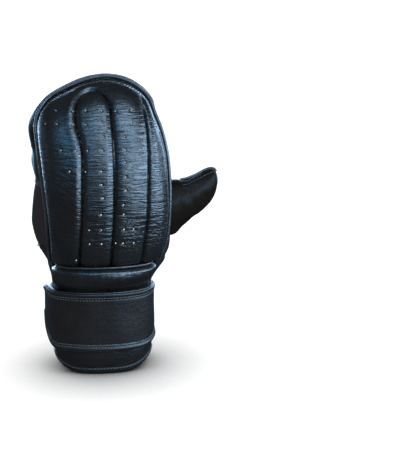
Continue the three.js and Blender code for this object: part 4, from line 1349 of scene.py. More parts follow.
@dataclass
class PalmSide(Assembly):
    """Finger cap, grip bar, welt, mesh and heel of the palm, with their bindings and stitches."""

    cap_rise: float = 8.0
    cap_thick: float = 9.0
    cap_corner: float = 2.6
    cap_corner_at: Marks = (219.0, 13.0)
    cap_gather: Wave = Wave(0.5, 4.0, 30.0, 30.0)
    cap_soft: Wave = Wave(0.35, 30.0, 24.0, 31.0)
    bar_rise: float = 12.0
    bar_height: float = 24.0
    bar_thick: float = 13.0
    bar_gather: Wave = Wave(0.5, 4.6, 30.0, 32.0)
    bar_fine: Wave = Wave(0.04, 5.0, 9.0, 33.0)
    seam_sink: float = 1.0
    welt_height: float = 4.0
    mesh_thick: float = 2.0
    mesh_pitch: float = 3.0
    mesh_sink: float = 0.7
    mesh_sag: Wave = Wave(0.5, 34.0, 28.0, 35.0)
    hole_depth: float = 0.75
    hole_edge: Marks = (1.05, 0.55)
    hole_lean: float = 0.16
    column_step: float = 0.866
    row_squeeze: float = 0.9
    binding_ends: Marks = (0.34, 0.16)
    binding_sink: float = 0.2
    binding_dive: float = 2.4
    heel_rise: float = 3.0
    heel_rows: Marks = (0.0, 0.08, 0.12, 0.35)
    heel_fold: Wave = Wave(1.1, 17.0, 34.0, 36.0)
    heel_fine: Wave = Wave(0.07, 13.0, 5.5, 37.0)
    heel_gather: Wave = Wave(0.4, 6.0, 30.0, 38.0)
    thumb_inset: float = 6.0
    slit_top: float = 87.5
    slit_band: float = 5.2
    slit_band_thick: float = 1.2
    slit_row: StitchRow = StitchRow(2.4, 1.7, 0.28)
    seam_row: StitchRow = StitchRow(2.8, 2.0, 0.3)

    def cap_seam(self, u: Array) -> Array:
        """Height of the seam under the finger cap, rising to the thumb's side."""
        return self.form.height(blend(0.580, 0.775, u))

    def bar_foot(self, u: Array) -> Array:
        """Height of the seam under the grip bar."""
        return self.cap_seam(u) - self.bar_height

    def welt_foot(self, u: Array) -> Array:
        """Height of the seam under the welt."""
        return self.bar_foot(u) - self.welt_height

    def mesh_edge(self, u: Array) -> Array:
        """Height of the lower edge of the mesh."""
        return self.form.height(MESH_EDGE.at(np.clip(u, 0.0, 1.0)))

    def above(self, seam: Field, laps: float) -> Field:
        """Rows so many laps above a seam, or below it if negative, as a function of the share across."""
        return lambda u: self.form.beside(seam, u, laps * self.form.seam_lap)

    def shallow(self, phi: Array) -> Array:
        """Share of an edge roll that is left near the little finger's seam."""
        return blend(0.3, 1.0, smooth(0.1, 0.8, phi))

    def cap_relief(self, phi: Array, v: Array, low: Array, high: Array) -> Array:
        """Domed cap: rises from its seam, closes at the fingertips, and is gathered along the seam."""
        at = self.form.skin(Side.PALM, phi, v)
        x, z, u, sine = at[..., 0], at[..., 2], across(phi), np.sin(phi)
        lift = self.form.sheet(u, v)[..., 2] - self.cap_seam(u)
        dome = self.cap_rise * smooth(-4.0, 16.0, lift) * sine ** 1.5 * np.sqrt(np.maximum(0.0, 1 - v ** 8))
        uneven = (self.cap_gather.humps(x, lift) * bell(low, 8.0) + self.cap_soft.humps(x, z)) * sine
        height, width = self.cap_corner_at
        corner = self.cap_corner * smooth(0.32, 0.10, u) * bell(z - height, width) * smooth(0.0, 0.2, phi)
        return dome + corner + uneven - self.seam_sink - edge_roll(low, 3.5, 2.2) * self.shallow(phi)

    def bar_relief(self, phi: Array, v: Array, low: Array, high: Array) -> Array:
        """Grip bar: a power of half a sine wave up it, lower at both ends, with gathers along both seams."""
        u, sine = across(phi), np.sin(phi)
        t = np.clip((self.form.sheet(u, v)[..., 2] - self.bar_foot(u)) / self.bar_height, 0.0, 1.0)
        x = self.form.skin(Side.PALM, phi, v)[..., 0]
        gather = self.bar_gather.humps(x, low) * (bell(low, 6.0) + bell(high, 7.0)) * sine ** 2
        body = self.bar_rise * np.sin(math.pi * t) ** 0.7 * smooth(0.4, 1.0, sine)
        body = body * smooth(1.0, 0.86, u) * blend(0.8, 1.0, smooth(0.0, 0.14, u))
        rolled = edge_roll(low, 2.5, 1.4) + edge_roll(high, 2.5, 1.4) * self.shallow(phi)
        return body + gather - self.bar_fine.valleys(x, low) - self.seam_sink - rolled

    def welt_relief(self, phi: Array, v: Array, low: Array, high: Array) -> Array:
        """Flat welt with rolled edges."""
        rolled = edge_roll(low, 1.4, 0.8) + edge_roll(high, 1.4, 0.8)
        return 0.1 * ripple(phi * 24.0, low, 34.0) - 0.4 - rolled

    def mesh_holes(self, phi: Array, v: Array) -> Array:
        """How far inside a hole of the mesh each place is, from 0 to 1.

        Holes lie in columns that lean a little, every second column half a step up, spaced by the
        length along the leather from its middle. Each has its own middle at a whole number of steps,
        and a round step of the distance to it. They fade out near both side seams.

        Args:
            phi: places across, a grid.
            v: places up, a grid.

        Returns:
            The share for each place.
        """
        at = self.form.skin(Side.PALM, phi, v)
        steps = np.linalg.norm(np.diff(at[..., :2], axis=1), axis=-1)
        length = np.concatenate([np.zeros((len(at), 1)), np.cumsum(steps, axis=1)], axis=1)
        turned = length - length[:, [length.shape[1] // 2]] + self.hole_lean * (at[..., 2] - 130.0)
        column = turned / (self.column_step * self.mesh_pitch)
        near = np.round(column)
        row = at[..., 2] / self.mesh_pitch + 0.5 * (near % 2)
        aside, up = (column - near) * self.column_step, (row - np.round(row)) * self.row_squeeze
        inside = smooth(*self.hole_edge, np.hypot(aside, up) * self.mesh_pitch)
        return inside * smooth(0.32, 0.55, phi) * smooth(0.15, 0.35, math.pi - phi)

    def mesh_relief(self, phi: Array, v: Array, low: Array, high: Array) -> Array:
        """Mesh: sunk holes, a soft sag and a few long folds."""
        at = self.form.skin(Side.PALM, phi, v)
        sag = self.mesh_sag.humps(at[..., 0], at[..., 2]) * smooth(0.0, 8.0, low)
        return sag - self.mesh_sink - self.hole_depth * self.mesh_holes(phi, v) - edge_roll(high, 2.0, 0.8)

    def heel_swell(self, phi: Array, v: Array) -> Array:
        """Ball of the thumb: a bell across, over a stretch of the height."""
        return self.heel_rise * between(self.heel_rows, v) * bell(across(phi) - 0.78, 0.16)

    def heel_relief(self, phi: Array, v: Array, low: Array, high: Array) -> Array:
        """Heel leather: ball of the thumb, folds and fine creases above the strap, level round the slit."""
        at = self.form.skin(Side.PALM, phi, v)
        x, z = at[..., 0], at[..., 2]
        edge = self.form.above_strap
        fold = self.heel_fold.humps(x + 0.3 * z, z - 0.3 * x) - self.heel_fine.valleys(x + z, x - z)
        gather = self.heel_gather.humps(x, z) * bell(z - edge, 6.0)
        beside = smooth(2.0, 8.0, np.abs(x - self.form.slit_x) - self.slit_band - self.form.slit_gap / 2.0)
        flat = np.maximum(beside, smooth(self.slit_top + 6.0, self.slit_top + 12.0, z))
        shown = smooth(edge - 1.0, edge + 4.0, z) * smooth(0.0, 6.0, high)
        return self.heel_swell(phi, v) + shown * flat * (fold + gather)

    def in_slit(self, x: Array, z: Array, beyond: float) -> Array:
        """Distance inside the keyhole slit widened by beyond: positive inside."""
        half = self.form.slit_gap / 2.0
        above = np.maximum(z - (self.slit_top - half), 0.0)
        return half + beyond - np.hypot(x - self.form.slit_x, above)

    def heel(self, thumb: "Thumb") -> bpy.types.Object:
        """Heel panel with the slit and the way into the thumb left open."""
        panel = Panel(self.form, Side.PALM, even(self.foot()), self.above(self.mesh_edge, 1.0),
                      self.heel_relief, even(self.form.leather), columns=230, rows=150,
                      knee=self.form.above_strap)
        outer, inner = panel.faces()
        middle = (outer[:-1, :-1] + outer[:-1, 1:] + outer[1:, 1:] + outer[1:, :-1]) / 4.0
        kept = self.in_slit(middle[..., 0], middle[..., 2], 0.5) < 0.0
        kept = kept & (thumb.inside(middle, self.thumb_inset) < 0.0)
        solid = pierced_shell(outer, inner, kept)
        return self.maker.add("heel_leather", solid, self.finishes.palm, Slot.PALM, "heel_panel")

    def slit_path(self, beyond: Array, count: int) -> tuple[Array, Array]:
        """Places across and heights along the slit's outline, moved out by beyond.

        Args:
            beyond: distances outside the slit.
            count: points along the outline: up one side, round the top and down the other.

        Returns:
            Both, distances by points.
        """
        half = self.form.slit_gap / 2.0
        centre = self.slit_top - half
        low = self.form.above_strap - 1.0
        straight = centre - low
        arc = math.pi * (half + self.slit_band / 2.0)
        s = np.linspace(0.0, 2.0 * straight + arc, count)
        turn = np.clip((s - straight) / arc, 0.0, 1.0) * math.pi
        radius = half + beyond[:, None]
        down = np.where(s > straight + arc, low + (2 * straight + arc - s), centre)
        up = np.where(s < straight, low + s, down)
        return self.form.slit_x - radius * np.cos(turn), up + radius * np.sin(turn)

    def slit_binding(self) -> None:
        """Flat band sewn round the slit, its inner edge turned into it, and its stitches."""
        share = np.linspace(0.0, 1.0, 15)
        phi, v = self.form.place(Side.PALM, *self.slit_path(share * self.slit_band, 160))
        swell = self.heel_swell(phi, v)
        edge = edge_roll(share * self.slit_band, 1.0, 0.9)
        edge = edge + edge_roll((1.0 - share) * self.slit_band, 1.0, 0.8)
        lift = self.form.gap + self.slit_band_thick - edge
        under = np.where(share < 0.12, -self.form.leather, 0.0)
        outer, _ = self.form.laid(Side.PALM, phi, v, swell + lift[:, None])
        inner, _ = self.form.laid(Side.PALM, phi, v, swell + under[:, None])
        band = shell(outer, inner)
        self.maker.add("slit_band", band, self.finishes.piping, Slot.PIPING, "slit_binding")
        x, z = self.slit_path(np.array([self.slit_band - 1.3]), 200)
        phi, v = self.form.place(Side.PALM, x[0], z[0])
        path, out = self.form.laid(Side.PALM, phi, v, self.heel_swell(phi, v) + lift.max())
        self.sew("slit_stitches", [self.slit_row.sewn(path, out)], Slot.PIPING)

    def seam_stitches(self) -> bpy.types.Object:
        """Stitches along the seams of the cap, the bar and the welt, and beside the mesh's binding."""
        plan = (
            (self.cap_seam, 2.2, self.cap_relief),
            (self.welt_foot, self.welt_height / 2.0, self.welt_relief),
            (self.mesh_edge, -3.2, self.heel_relief),
        )
        rows = []
        for seam, distance, relief in plan:
            phi = np.linspace(0.25, math.pi - 0.25, 240)
            v = self.form.beside(seam, across(phi), distance)
            away = np.full_like(phi, abs(distance))
            path, out = self.form.laid(Side.PALM, phi, v, relief(phi, v, away, away))
            rows.append(self.seam_row.sewn(path, out))
        return self.sew("palm_stitches", rows, Slot.PALM)

    def mesh_binding(self) -> bpy.types.Object:
        """Cord along the mesh's lower edge, pale with a painted highlight, thinner and deeper where it runs into
        the side seams.
        """
        start, end = self.binding_ends
        phi = np.linspace(start, math.pi - end, 340)
        v = self.form.row_at(across(phi), self.mesh_edge(across(phi)))
        sunk = self.binding_sink + self.binding_dive * near_seams(phi)
        path, out = self.form.laid(Side.PALM, phi, v, -sunk)
        cord = bead(path, out, self.form.fine_bead * (1.0 - 0.5 * near_seams(phi)))
        return self.maker.add("mesh_edge_bead", cord, self.finishes.cord, Slot.PIPING, "mesh_binding")

    def build(self, thumb: "Thumb") -> None:
        """Make the panels from the fingertips down, each a lap over its seam, and what is sewn on them.

        Args:
            thumb: the thumb, which the heel is open to.
        """
        form, leather = self.form, self.form.leather

        def cap_wall(phi: Array, v: Array) -> Array:
            """Padding of the cap, thin at its edges."""
            return leather + (self.cap_thick - leather) * np.sin(phi) * np.sqrt(np.maximum(0.0, 1.0 - v ** 4))

        def bar_wall(phi: Array, v: Array) -> Array:
            """Padding of the bar, thin at its ends."""
            return leather + (self.bar_thick - self.bar_rise) * np.sin(phi)

        cap = Panel(form, Side.PALM, self.above(self.cap_seam, -1.0), np.ones_like,
                    self.cap_relief, cap_wall, columns=250, rows=130, end_power=1.5)
        bar = Panel(form, Side.PALM, self.above(self.bar_foot, -1.0), self.above(self.cap_seam, 1.0),
                    self.bar_relief, bar_wall, columns=300, rows=60)
        welt = Panel(form, Side.PALM, self.above(self.welt_foot, -1.0), self.above(self.bar_foot, 1.0),
                     self.welt_relief, even(leather), columns=200, rows=10)
        mesh = Panel(form, Side.PALM, self.above(self.mesh_edge, -1.0), self.above(self.welt_foot, 3.0),
                     self.mesh_relief, even(0.9 + self.mesh_thick), columns=330, rows=200)
        add, finishes = self.maker.add, self.finishes
        add("padded_finger_cap", cap.solid(), finishes.thumb, Slot.PALM, "finger_cap")
        add("padded_grip_bar", bar.solid(), finishes.pad, Slot.PALM, "grip_bar")
        add("welt_strip", welt.solid(), finishes.piping, Slot.PALM, "mesh_welt")
        net = add("palm_netting", mesh.solid(self.mesh_holes), finishes.mesh, Slot.MESH, "palm_mesh")
        self.mesh_binding()
        self.heel(thumb)
        self.slit_binding()
        self.seam_stitches()


@dataclass
class Thumb(Assembly):
    """Hollow leather thumb, the bead along its upper edge and the stitches below the bead."""

    reach: float = 47.0
    height: float = 50.0
    depth: float = 34.0
    leaves_at: float = 0.82
    root: float = -0.32
    sides: int = 110
    fold: Wave = Wave(1.2, 12.0, 1.0, 40.0)
    crease: Wave = Wave(0.22, 5.0, 14.0, 41.0)
    under_drop: float = 1.8
    free_from: Marks = (-0.06, 0.26)
    stitched: StitchRow = StitchRow(2.6, 1.8, 0.3)
    stitch_side: int = 99

    def side(self) -> float:
        """Place across of the seam where the thumb leaves it."""
        return float(self.form.seam(np.array(self.leaves_at))[0])

    def middle(self, out: Array) -> Array:
        """Height of the thumb's middle line at shares of its reach."""
        return self.form.wrist_seam + THUMB["mid"].at(out) * self.height

    def inside(self, points: Array, inset: float) -> Array:
        """How far inside the thumb's section points near its root are, as a share: positive inside."""
        out = np.clip((points[..., 0] - self.side()) / self.reach, -0.22, 0.3)
        y = points[..., 1] - THUMB["back"].at(out) * self.depth
        y = y / (THUMB["deep"].at(out) * self.depth - inset)
        z = (points[..., 2] - self.middle(out)) / (THUMB["half"].at(out) * self.height - inset)
        near = points[..., 0] > self.side() - 0.25 * self.reach
        return np.where(near, 1.0 - np.hypot(y, z), -1.0)

    def rings(self, inset: float, root: float, count: int) -> Array:
        """Sections of the thumb from its root to its tip: ellipses, creased outside.

        Args:
            inset: how much smaller they are than the thumb.
            root: share of the reach where they begin, negative inside the hand.
            count: how many.

        Returns:
            Points, sections by sides. Near the root they are held inside the palm's skin.
        """
        t = np.linspace(0.0, 1.0, count)[:, None]
        out = blend(root, 1.0, 1.0 - (1.0 - t) ** 1.7)
        turn = np.linspace(0.0, 2.0 * math.pi, self.sides, endpoint=False)
        shrink = np.where(out > 0.9, inset * 0.6, inset)
        half = np.maximum(THUMB["half"].at(out) * self.height - shrink, 0.4)
        deep = np.maximum(THUMB["deep"].at(out) * self.depth - shrink, 0.3)
        x = self.side() + out * self.reach - np.where(out > 0.5, inset * (out - 0.5) * 2.0, 0.0)
        y = THUMB["back"].at(out) * self.depth + deep * np.sin(turn)
        points = np.stack(np.broadcast_arrays(x, y, self.middle(out) + half * np.cos(turn)), -1)
        if inset == 0.0:
            fold = self.fold.humps(points[..., 0] + 0.6 * points[..., 2], turn * 1.2)
            crease = self.crease.valleys(points[..., 0], points[..., 2] + points[..., 1])
            uneven = smooth(1.0, 0.75, out) * (fold - crease)
            points[..., 1] += uneven * np.sin(turn)
            points[..., 2] += uneven * np.cos(turn)
            points[..., 2] -= self.under_drop * bell(out - 0.14, 0.14) * np.maximum(-np.cos(turn), 0.0)
        low = self.form.place(Side.PALM, np.minimum(points[..., 0], self.side() - 3.0), points[..., 2])
        skin = self.form.skin(Side.PALM, *low)[..., 1] - 1.0 - inset
        held = np.minimum(points[..., 1], skin)
        points[..., 1] = blend(held, points[..., 1], smooth(*self.free_from, out))
        return points

    def build(self) -> None:
        """Make the thumb, outer sections from tip to root and inner ones back, its bead and its stitches."""
        outer, inner = self.rings(0.0, self.root, 130)[::-1], self.rings(self.form.leather, self.root, 40)
        solid = sleeve(np.concatenate([outer, inner]))
        self.maker.add("thumb_leather", solid, self.finishes.thumb, Slot.PALM, "thumb")
        out = np.linspace(0.24, 0.97, 120)
        top = self.middle(out) + THUMB["half"].at(out) * self.height + self.form.gap
        path = np.stack([self.side() + out * self.reach, THUMB["back"].at(out) * self.depth, top], -1)
        cord = bead(path, np.array([0.0, 0.3, 1.0]), self.form.fine_bead)
        self.maker.add("thumb_bead", cord, self.finishes.piping, Slot.PIPING, "thumb_piping")
        below = self.rings(0.0, self.free_from[1], 120)[:-8, self.stitch_side]
        self.sew("thumb_stitches", [self.stitched.sewn(below, np.array([0.0, -0.5, 0.85]))], Slot.PIPING)


@dataclass
class Cuff(Assembly):
    """Cuff round the wrist with a slit at the palm, and the binding on its rim."""

    thick: float = 3.5
    rim_height: float = 6.0
    rim_proud: float = 0.7
    rim_side_rise: float = 10.5
    rim_side_end: Marks = (134.0, 92.0)
    rim_slit_rise: float = 7.0
    rim_slit_span: Marks = (18.0, 2.0)
    rim_flat: float = 12.0
    slit_mouth: float = 10.0
    low_share: float = 0.7
    columns: int = 330
    swell: Wave = Wave(0.35, 24.0, 16.0, 50.0)
    crease: Wave = Wave(0.12, 15.0, 4.0, 51.0)
    band_uneven: Wave = Wave(0.08, 3.0, 4.0, 52.0)
    swollen_steps: Marks = (0.0, 0.1, 0.6, 0.72)
    rim_row: StitchRow = StitchRow(2.8, 2.0, 0.3)
    rim_row_at: float = 0.80

    def palm_angle(self, x: Array, height: Array) -> Array:
        """Angle at which the cuff reaches a place across on the palm side."""
        wide = self.form.ring(np.array(90.0), height)[..., 0] - self.form.cuff_shift
        reach = np.clip(np.abs(x - self.form.cuff_shift) / wide, 0.0, 1.0)
        turn = np.degrees(np.arcsin(reach ** (self.form.cuff_squareness / 2.0)))
        return 180.0 + np.sign(self.form.cuff_shift - x) * turn

    def rim(self, degrees: Array) -> Array:
        """Height of the rim: raised at the sides by the cube of a sine, and at the slit."""
        whole = degrees % 360.0
        turn = np.minimum(whole, 360.0 - whole)
        past = np.clip((turn - self.rim_flat) / (90.0 - self.rim_flat), 0.0, 1.0)
        sides = np.sin(past * math.pi / 2.0) ** 3 * smooth(*self.rim_side_end, turn)
        from_slit = np.abs(whole - self.palm_angle(np.array(self.form.slit_x), np.array(0.0)))
        return self.rim_side_rise * sides + self.rim_slit_rise * smooth(*self.rim_slit_span, from_slit)

    def angles(self, share: Array, height: Array) -> Array:
        """Angles from one side of the slit round to the other at a height."""
        gap = blend(self.slit_mouth, self.form.slit_gap, smooth(0.0, self.form.cuff_top, height))
        start = self.palm_angle(self.form.slit_x - gap / 2.0, height)
        return blend(start, 360.0 + self.palm_angle(self.form.slit_x + gap / 2.0, height), share)

    def wall(self, columns: int, level: Field, offset: Field, steps: Array) -> Array:
        """Grid of the wall at an offset.

        Args:
            columns: steps round the wrist.
            level: height from angle and share up.
            offset: distance outside the outline from angle, height and share up.
            steps: shares up.

        Returns:
            Points, steps up by steps round.
        """
        share, up = np.linspace(0.0, 1.0, columns + 1), steps[:, None]
        degrees = self.angles(share, level(blend(180.0, 540.0, share), up))
        height = level(degrees, up)
        return self.form.ring(degrees, height, offset(degrees, height, up))

    def level(self, degrees: Array, t: Array) -> Array:
        """Height on the cuff: most steps are below the strap's lower edge, the rest above it."""
        bend = self.form.strap_bottom
        foot = self.rim(degrees) + self.rim_height + self.form.gap
        low = blend(foot, bend, np.minimum(t / self.low_share, 1.0))
        high = blend(bend, self.form.cuff_top, (t - self.low_share) / (1.0 - self.low_share))
        return np.where(t < self.low_share, low, high)

    def outside(self, degrees: Array, height: Array, t: Array) -> Array:
        """Soft swell and long creases of the outer face."""
        uneven = self.swell.humps(degrees, height) - self.crease.valleys(degrees, height)
        return uneven * between(self.swollen_steps, t)

    def band_level(self, degrees: Array, t: Array) -> Array:
        """Height on the binding."""
        return self.rim(degrees) + self.rim_height * t

    def fold(self, t: Array) -> Array:
        """How far the binding is folded in at its foot, under the rim, and at its upper edge."""
        up = t * self.rim_height
        return edge_roll(up, 2.4, 2.0) + edge_roll(self.rim_height - up, 0.9, 0.7)

    def band_outside(self, degrees: Array, height: Array, t: Array) -> Array:
        """Outer face of the binding."""
        return self.rim_proud + self.band_uneven.humps(degrees, t * self.rim_height) - self.fold(t)

    def band_inside(self, degrees: Array, height: Array, t: Array) -> Array:
        """Inner face of the binding."""
        return -self.thick - self.rim_proud + self.fold(t) * 0.6

    def stitch_line(self, proud: float) -> Array:
        """Line along the binding for its stitches, at a distance outside the outline."""
        return self.wall(600, self.band_level, even(proud), np.array([self.rim_row_at]))[0]

    def build(self) -> None:
        """Make the cuff, its rim binding and the stitches of the binding."""
        steps, band_steps = np.linspace(0.0, 1.0, 61), np.linspace(0.0, 1.0, 17)
        outer = self.wall(self.columns, self.level, self.outside, steps)
        inner = self.wall(self.columns, self.level, even(-self.thick), steps)
        self.maker.add("cuff_leather", shell(outer, inner[::5, ::5]), self.finishes.cuff, Slot.CUFF, "cuff")
        outer = self.wall(self.columns, self.band_level, self.band_outside, band_steps)
        inner = self.wall(self.columns, self.band_level, self.band_inside, band_steps)
        band = shell(outer, inner[::2, ::5])
        self.maker.add("rim_binding", band, self.finishes.cuff, Slot.CUFF, "cuff_binding")
        path = self.stitch_line(self.rim_proud)
        away = self.stitch_line(self.rim_proud + 1.0) - path
        self.sew("rim_stitches", [self.rim_row.sewn(path, away)], Slot.CUFF)


@dataclass
class Strap(Assembly):
    """Closing strap wound once round the wrist, its free end on the little finger's side."""

    width: float = 52.0
    thick: float = 2.4
    border: float = 5.0
    border_rise: float = 0.5
    border_roll: float = 0.45
    border_roll_width: float = 3.6
    start: float = 298.0
    end: float = -84.0
    corner: float = 30.0
    top_corner: float = 3.0
    end_rise: float = 2.5
    flare: float = 1.0
    side_rise: float = 5.0
    little_rise: float = 6.0
    little_end: float = 12.0
    side_span: float = 24.0
    edge_bead: float = 0.6
    line_depth: float = 0.35
    line_width: float = 0.45
    line_edges: Marks = (4.0, 6.0)
    thread_row: StitchRow = StitchRow(2.6, 1.9, 0.28)
    back_span: Marks = (-60.0, -30.0, 50.0, 75.0)
    thumb_span: Marks = (122.0, 136.0, 168.0, 184.0)
    level_crease: Wave = Wave(0.07, 22.0, 2.6, 60.0)
    sway: Wave = Wave(0.7, 16.0, 12.0, 64.0)
    upright: Wave = Wave(0.60, 3.1, 26.0, 61.0)
    soft: Wave = Wave(0.35, 30.0, 22.0, 63.0)

    def lift(self, degrees: Array) -> Array:
        """How far the strap stands off the cuff: a layer more where it lies over its own start."""
        layer = self.thick + self.form.gap + self.border_rise
        over = 360.0 - self.start
        doubled = layer * smooth(34.0 - over, 4.0 - over, degrees)
        return doubled + self.flare * smooth(-over - 8.0, self.end, degrees)

    def rounding(self, degrees: Array, radius: float) -> Array:
        """How far an edge is drawn in near the free end by a round corner."""
        left = np.clip((degrees - self.end) * math.radians(self.form.cuff_half_width), 0.0, radius)
        return radius - np.sqrt(radius ** 2 - (radius - left) ** 2)

    def height(self, degrees: Array, share: Array) -> Array:
        """Height at a share of the width: the lower edge rises at the sides, the upper to the free end."""
        side = self.side_rise * bell(np.abs(degrees) % 180.0 - 90.0, self.side_span)
        under = bell(degrees - (360.0 + self.end), self.side_span)
        side = side + self.little_rise * (under + bell(degrees - self.end, self.little_end))
        low = self.form.strap_bottom + np.maximum(self.rounding(degrees, self.corner), side)
        high = self.form.strap_bottom + self.width - self.rounding(degrees, self.top_corner)
        return blend(low, high + self.end_rise * bell(degrees - self.end, self.side_span), share)

    def relief(self, degrees: Array, share: Array) -> Array:
        """Outer face: raised borders, sunk stitch lines, rolled edges and the wrinkles of each stretch."""
        level = share * self.width
        edge = np.minimum(level, self.width - level)
        border = self.border_rise * smooth(self.border + 1.5, self.border - 0.5, edge)
        rolled = np.clip(edge / self.border_roll_width, 0.0, 1.0)
        border = border + self.border_roll * np.sin(math.pi * rolled)
        lines = self.line_depth * sum(bell(edge - line, self.line_width) for line in self.line_edges)
        swayed = degrees + self.upright.wide * self.sway.humps(degrees, level)
        upright = self.upright.humps(swayed, level) * between(self.thumb_span, degrees)
        level_creases = self.level_crease.valleys(degrees, level) * between(self.back_span, degrees)
        wrinkles = self.soft.humps(degrees, level) + upright - level_creases
        return border - lines + smooth(5.0, 9.0, edge) * wrinkles - edge_roll(edge, 1.6, 1.4)

    def surface(self, degrees: Array, share: Array, above: Array) -> Array:
        """Points at a height above the cuff's outline."""
        off = self.form.gap + 0.1 + self.lift(degrees)
        return self.form.ring(degrees, self.height(degrees, share), off + above)

    def build(self) -> None:
        """Make the strap, the bead along its edges and its stitch rows."""
        degrees = blend(self.start, self.end, 1.0 - (1.0 - np.linspace(0.0, 1.0, 441)) ** 1.15)
        even_steps = np.linspace(0.0, 1.0, 81)
        share = blend(even_steps, across(math.pi * even_steps), 0.5)[:, None]
        outer = self.surface(degrees, share, self.thick + self.relief(degrees, share))
        inner = self.surface(degrees, share, np.zeros_like(share + degrees))
        solid = shell(outer, inner[::5, ::5])
        piece = self.maker.add("strap_leather", solid, self.finishes.cuff, Slot.STRAP, "strap")
        run = blend(self.start, self.end + 0.6, np.linspace(0.0, 1.0, 500))
        climb = np.linspace(1.0, 0.0, 90)[1:-1]
        trail = np.concatenate([run, np.full(len(climb), run[-1]), run[::-1]])
        ends = np.concatenate([np.ones(500), climb, np.zeros(500)])
        path = self.surface(trail, ends, self.thick * 0.55 + 0.0 * trail)
        out = unit(self.surface(trail, ends, self.thick + 1.0 + 0.0 * trail) - path)
        cord = bead(path, out, self.edge_bead, 10)
        self.maker.add("strap_edge_bead", cord, self.finishes.piping, Slot.STRAP)
        near, next_in = self.line_edges
        rows = []
        for edge in (near, next_in, self.width - next_in, self.width - near):
            last = self.end + (9.0 if edge < 10.0 else 5.0)
            turn = blend(self.start - 2.0, last, np.linspace(0.0, 1.0, 700))
            level = np.full_like(turn, edge / self.width)
            path = self.surface(turn, level, self.thick + self.relief(turn, level) + 0.1)
            out = unit(self.surface(turn, level, self.thick + 3.0 + 0.0 * turn) - path)
            rows.append(self.thread_row.sewn(path, out))
        self.sew("strap_stitches", rows, Slot.STRAP)


BLUE = (0.46, 0.71, 1.0)
DEEP_BLUE = (0.20, 0.58, 1.0)

# Soft boxes: name, place and size in metres, power in watts and colour
SOFT_BOXES = (
    ("key", (0.78, -0.89, 0.46), (1.2, 0.45), 32.0, BLUE),
    ("side", (1.15, -0.12, 0.40), (0.8, 0.5), 19.0, BLUE),
    ("high", (0.20, -0.70, 0.95), (0.6, 0.35), 10.5, BLUE),
    ("fill", (-0.45, -0.95, 0.95), (0.5, 0.4), 6.0, DEEP_BLUE),
    ("left", (-1.2, 0.1, 0.55), (0.8, 0.4), 0.8, BLUE),
    ("rim", (-0.7, 0.8, 0.35), (0.7, 0.5), 2.2, BLUE),
    ("palm", (0.5, 0.95, 0.35), (1.0, 0.5), 8.0, BLUE),
    ("palm_low", (-0.45, 0.95, 0.30), (0.6, 0.5), 10.0, BLUE),
    ("above_palm", (0.10, 0.95, 0.75), (1.2, 0.25), 12.0, BLUE),
)


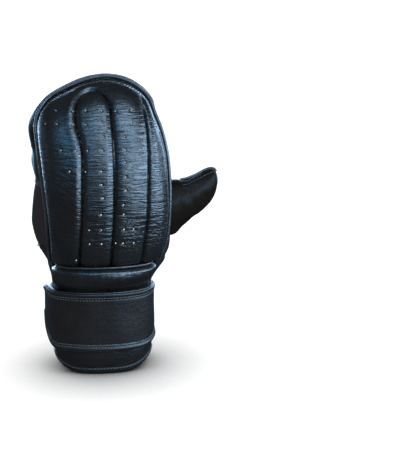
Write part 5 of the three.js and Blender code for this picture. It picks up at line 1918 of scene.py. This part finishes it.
@dataclass
class Studio:
    """Pale floor, soft boxes, faint room light and the camera."""

    maker: Maker
    camera_at: tuple[float, float, float] = (6.4, -750.0, 265.7)
    aim: tuple[float, float, float] = (91.4, 0.0, 124.7)
    lens: float = 67.9
    floor_half: float = 8.0
    lit_point: tuple[float, float, float] = (0.0, 0.0, 0.14)
    seen_light: Colour = (1.40, 1.40, 1.40)
    mirrored_light: Colour = (0.040, 0.062, 0.098)

    def floor(self) -> None:
        """Wide pale floor, left out of the glove."""
        half = self.floor_half
        mesh = bpy.data.meshes.new("floor")
        corners = [(-half, -half, 0), (half, -half, 0), (half, half, 0), (-half, half, 0)]
        mesh.from_pydata(corners, [], [(0, 1, 2, 3)])
        mesh.materials.append(FloorFinish().make())
        floor = bpy.data.objects.new("floor", mesh)
        bpy.context.scene.collection.objects.link(floor)
        floor.visible_glossy = False
        floor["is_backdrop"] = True

    def box(self, name: str, at: tuple, size: tuple, power: float, colour: tuple) -> None:
        """A soft box that faces the glove and is seen only in what shines, so that black stays black.

        Args:
            name: name of the light.
            at: its place, in metres.
            size: its width and height, in metres.
            power: its power, in watts.
            colour: its colour.
        """
        data = bpy.data.lights.new(name, "AREA")
        data.shape, data.size, data.size_y = "RECTANGLE", size[0], size[1]
        data.energy, data.color = power, colour
        light = bpy.data.objects.new(name, data)
        light.visible_diffuse = False
        light.location = at
        towards = Vector(self.lit_point) - Vector(at)
        light.rotation_euler = towards.to_track_quat("-Z", "Y").to_euler()
        bpy.context.scene.collection.objects.link(light)

    def room(self) -> None:
        """Room light: white to the eye and to the floor, faint in what the leather mirrors."""
        world = bpy.data.worlds.new("room")
        bpy.context.scene.world = world
        world.use_nodes = True
        tree = world.node_tree
        light = tree.nodes.new("ShaderNodeLightPath")
        mix = tree.nodes.new("ShaderNodeMix")
        mix.data_type = "RGBA"
        mix.inputs[6].default_value = (*self.seen_light, 1.0)
        mix.inputs[7].default_value = (*self.mirrored_light, 1.0)
        background = next(n for n in tree.nodes if n.type == "BACKGROUND")
        tree.links.new(light.outputs["Is Glossy Ray"], mix.inputs[0])
        tree.links.new(mix.outputs[2], background.inputs["Color"])

    def camera(self) -> None:
        """Camera at the photograph's angle, aimed beside the glove as the photograph frames it."""
        data = bpy.data.cameras.new("camera")
        data.lens, data.sensor_width = self.lens, 36.0
        data.clip_start, data.clip_end = 0.05, 50.0
        camera = bpy.data.objects.new("camera", data)
        at, aim = (Vector(self.maker.framed(np.array(p))) for p in (self.camera_at, self.aim))
        camera.location = at
        camera.rotation_euler = (aim - at).to_track_quat("-Z", "Y").to_euler()
        bpy.context.scene.collection.objects.link(camera)
        bpy.context.scene.camera = camera

    def build(self) -> None:
        """Set up the floor, the lights and the camera."""
        self.camera()
        self.floor()
        self.room()
        for row in SOFT_BOXES:
            self.box(*row)
        bpy.context.scene.view_settings.view_transform = "Standard"


def main() -> None:
    """Build the studio and the glove, and note both boxes."""
    logging.basicConfig(level=logging.INFO, format="%(message)s")
    form = HandForm()
    maker = Maker(form)
    finishes = Finishes()
    Studio(maker).build()
    parts = (form, maker, finishes)
    thumb = Thumb(*parts)
    PaddedBack(*parts).build()
    WristRoll(*parts).build()
    PalmSide(*parts).build(thumb)
    thumb.build()
    Cuff(*parts).build()
    Strap(*parts).build()
    boxes = {"cad": [list(corner) for corner in CAD_BOX], "visual": [list(corner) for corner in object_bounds()]}
    millimetres = {name: np.round(np.array(box) / MM, 1).tolist() for name, box in boxes.items()}
    log.info("boxes in millimetres: %s", millimetres)


if __name__ == "__main__":
    main()
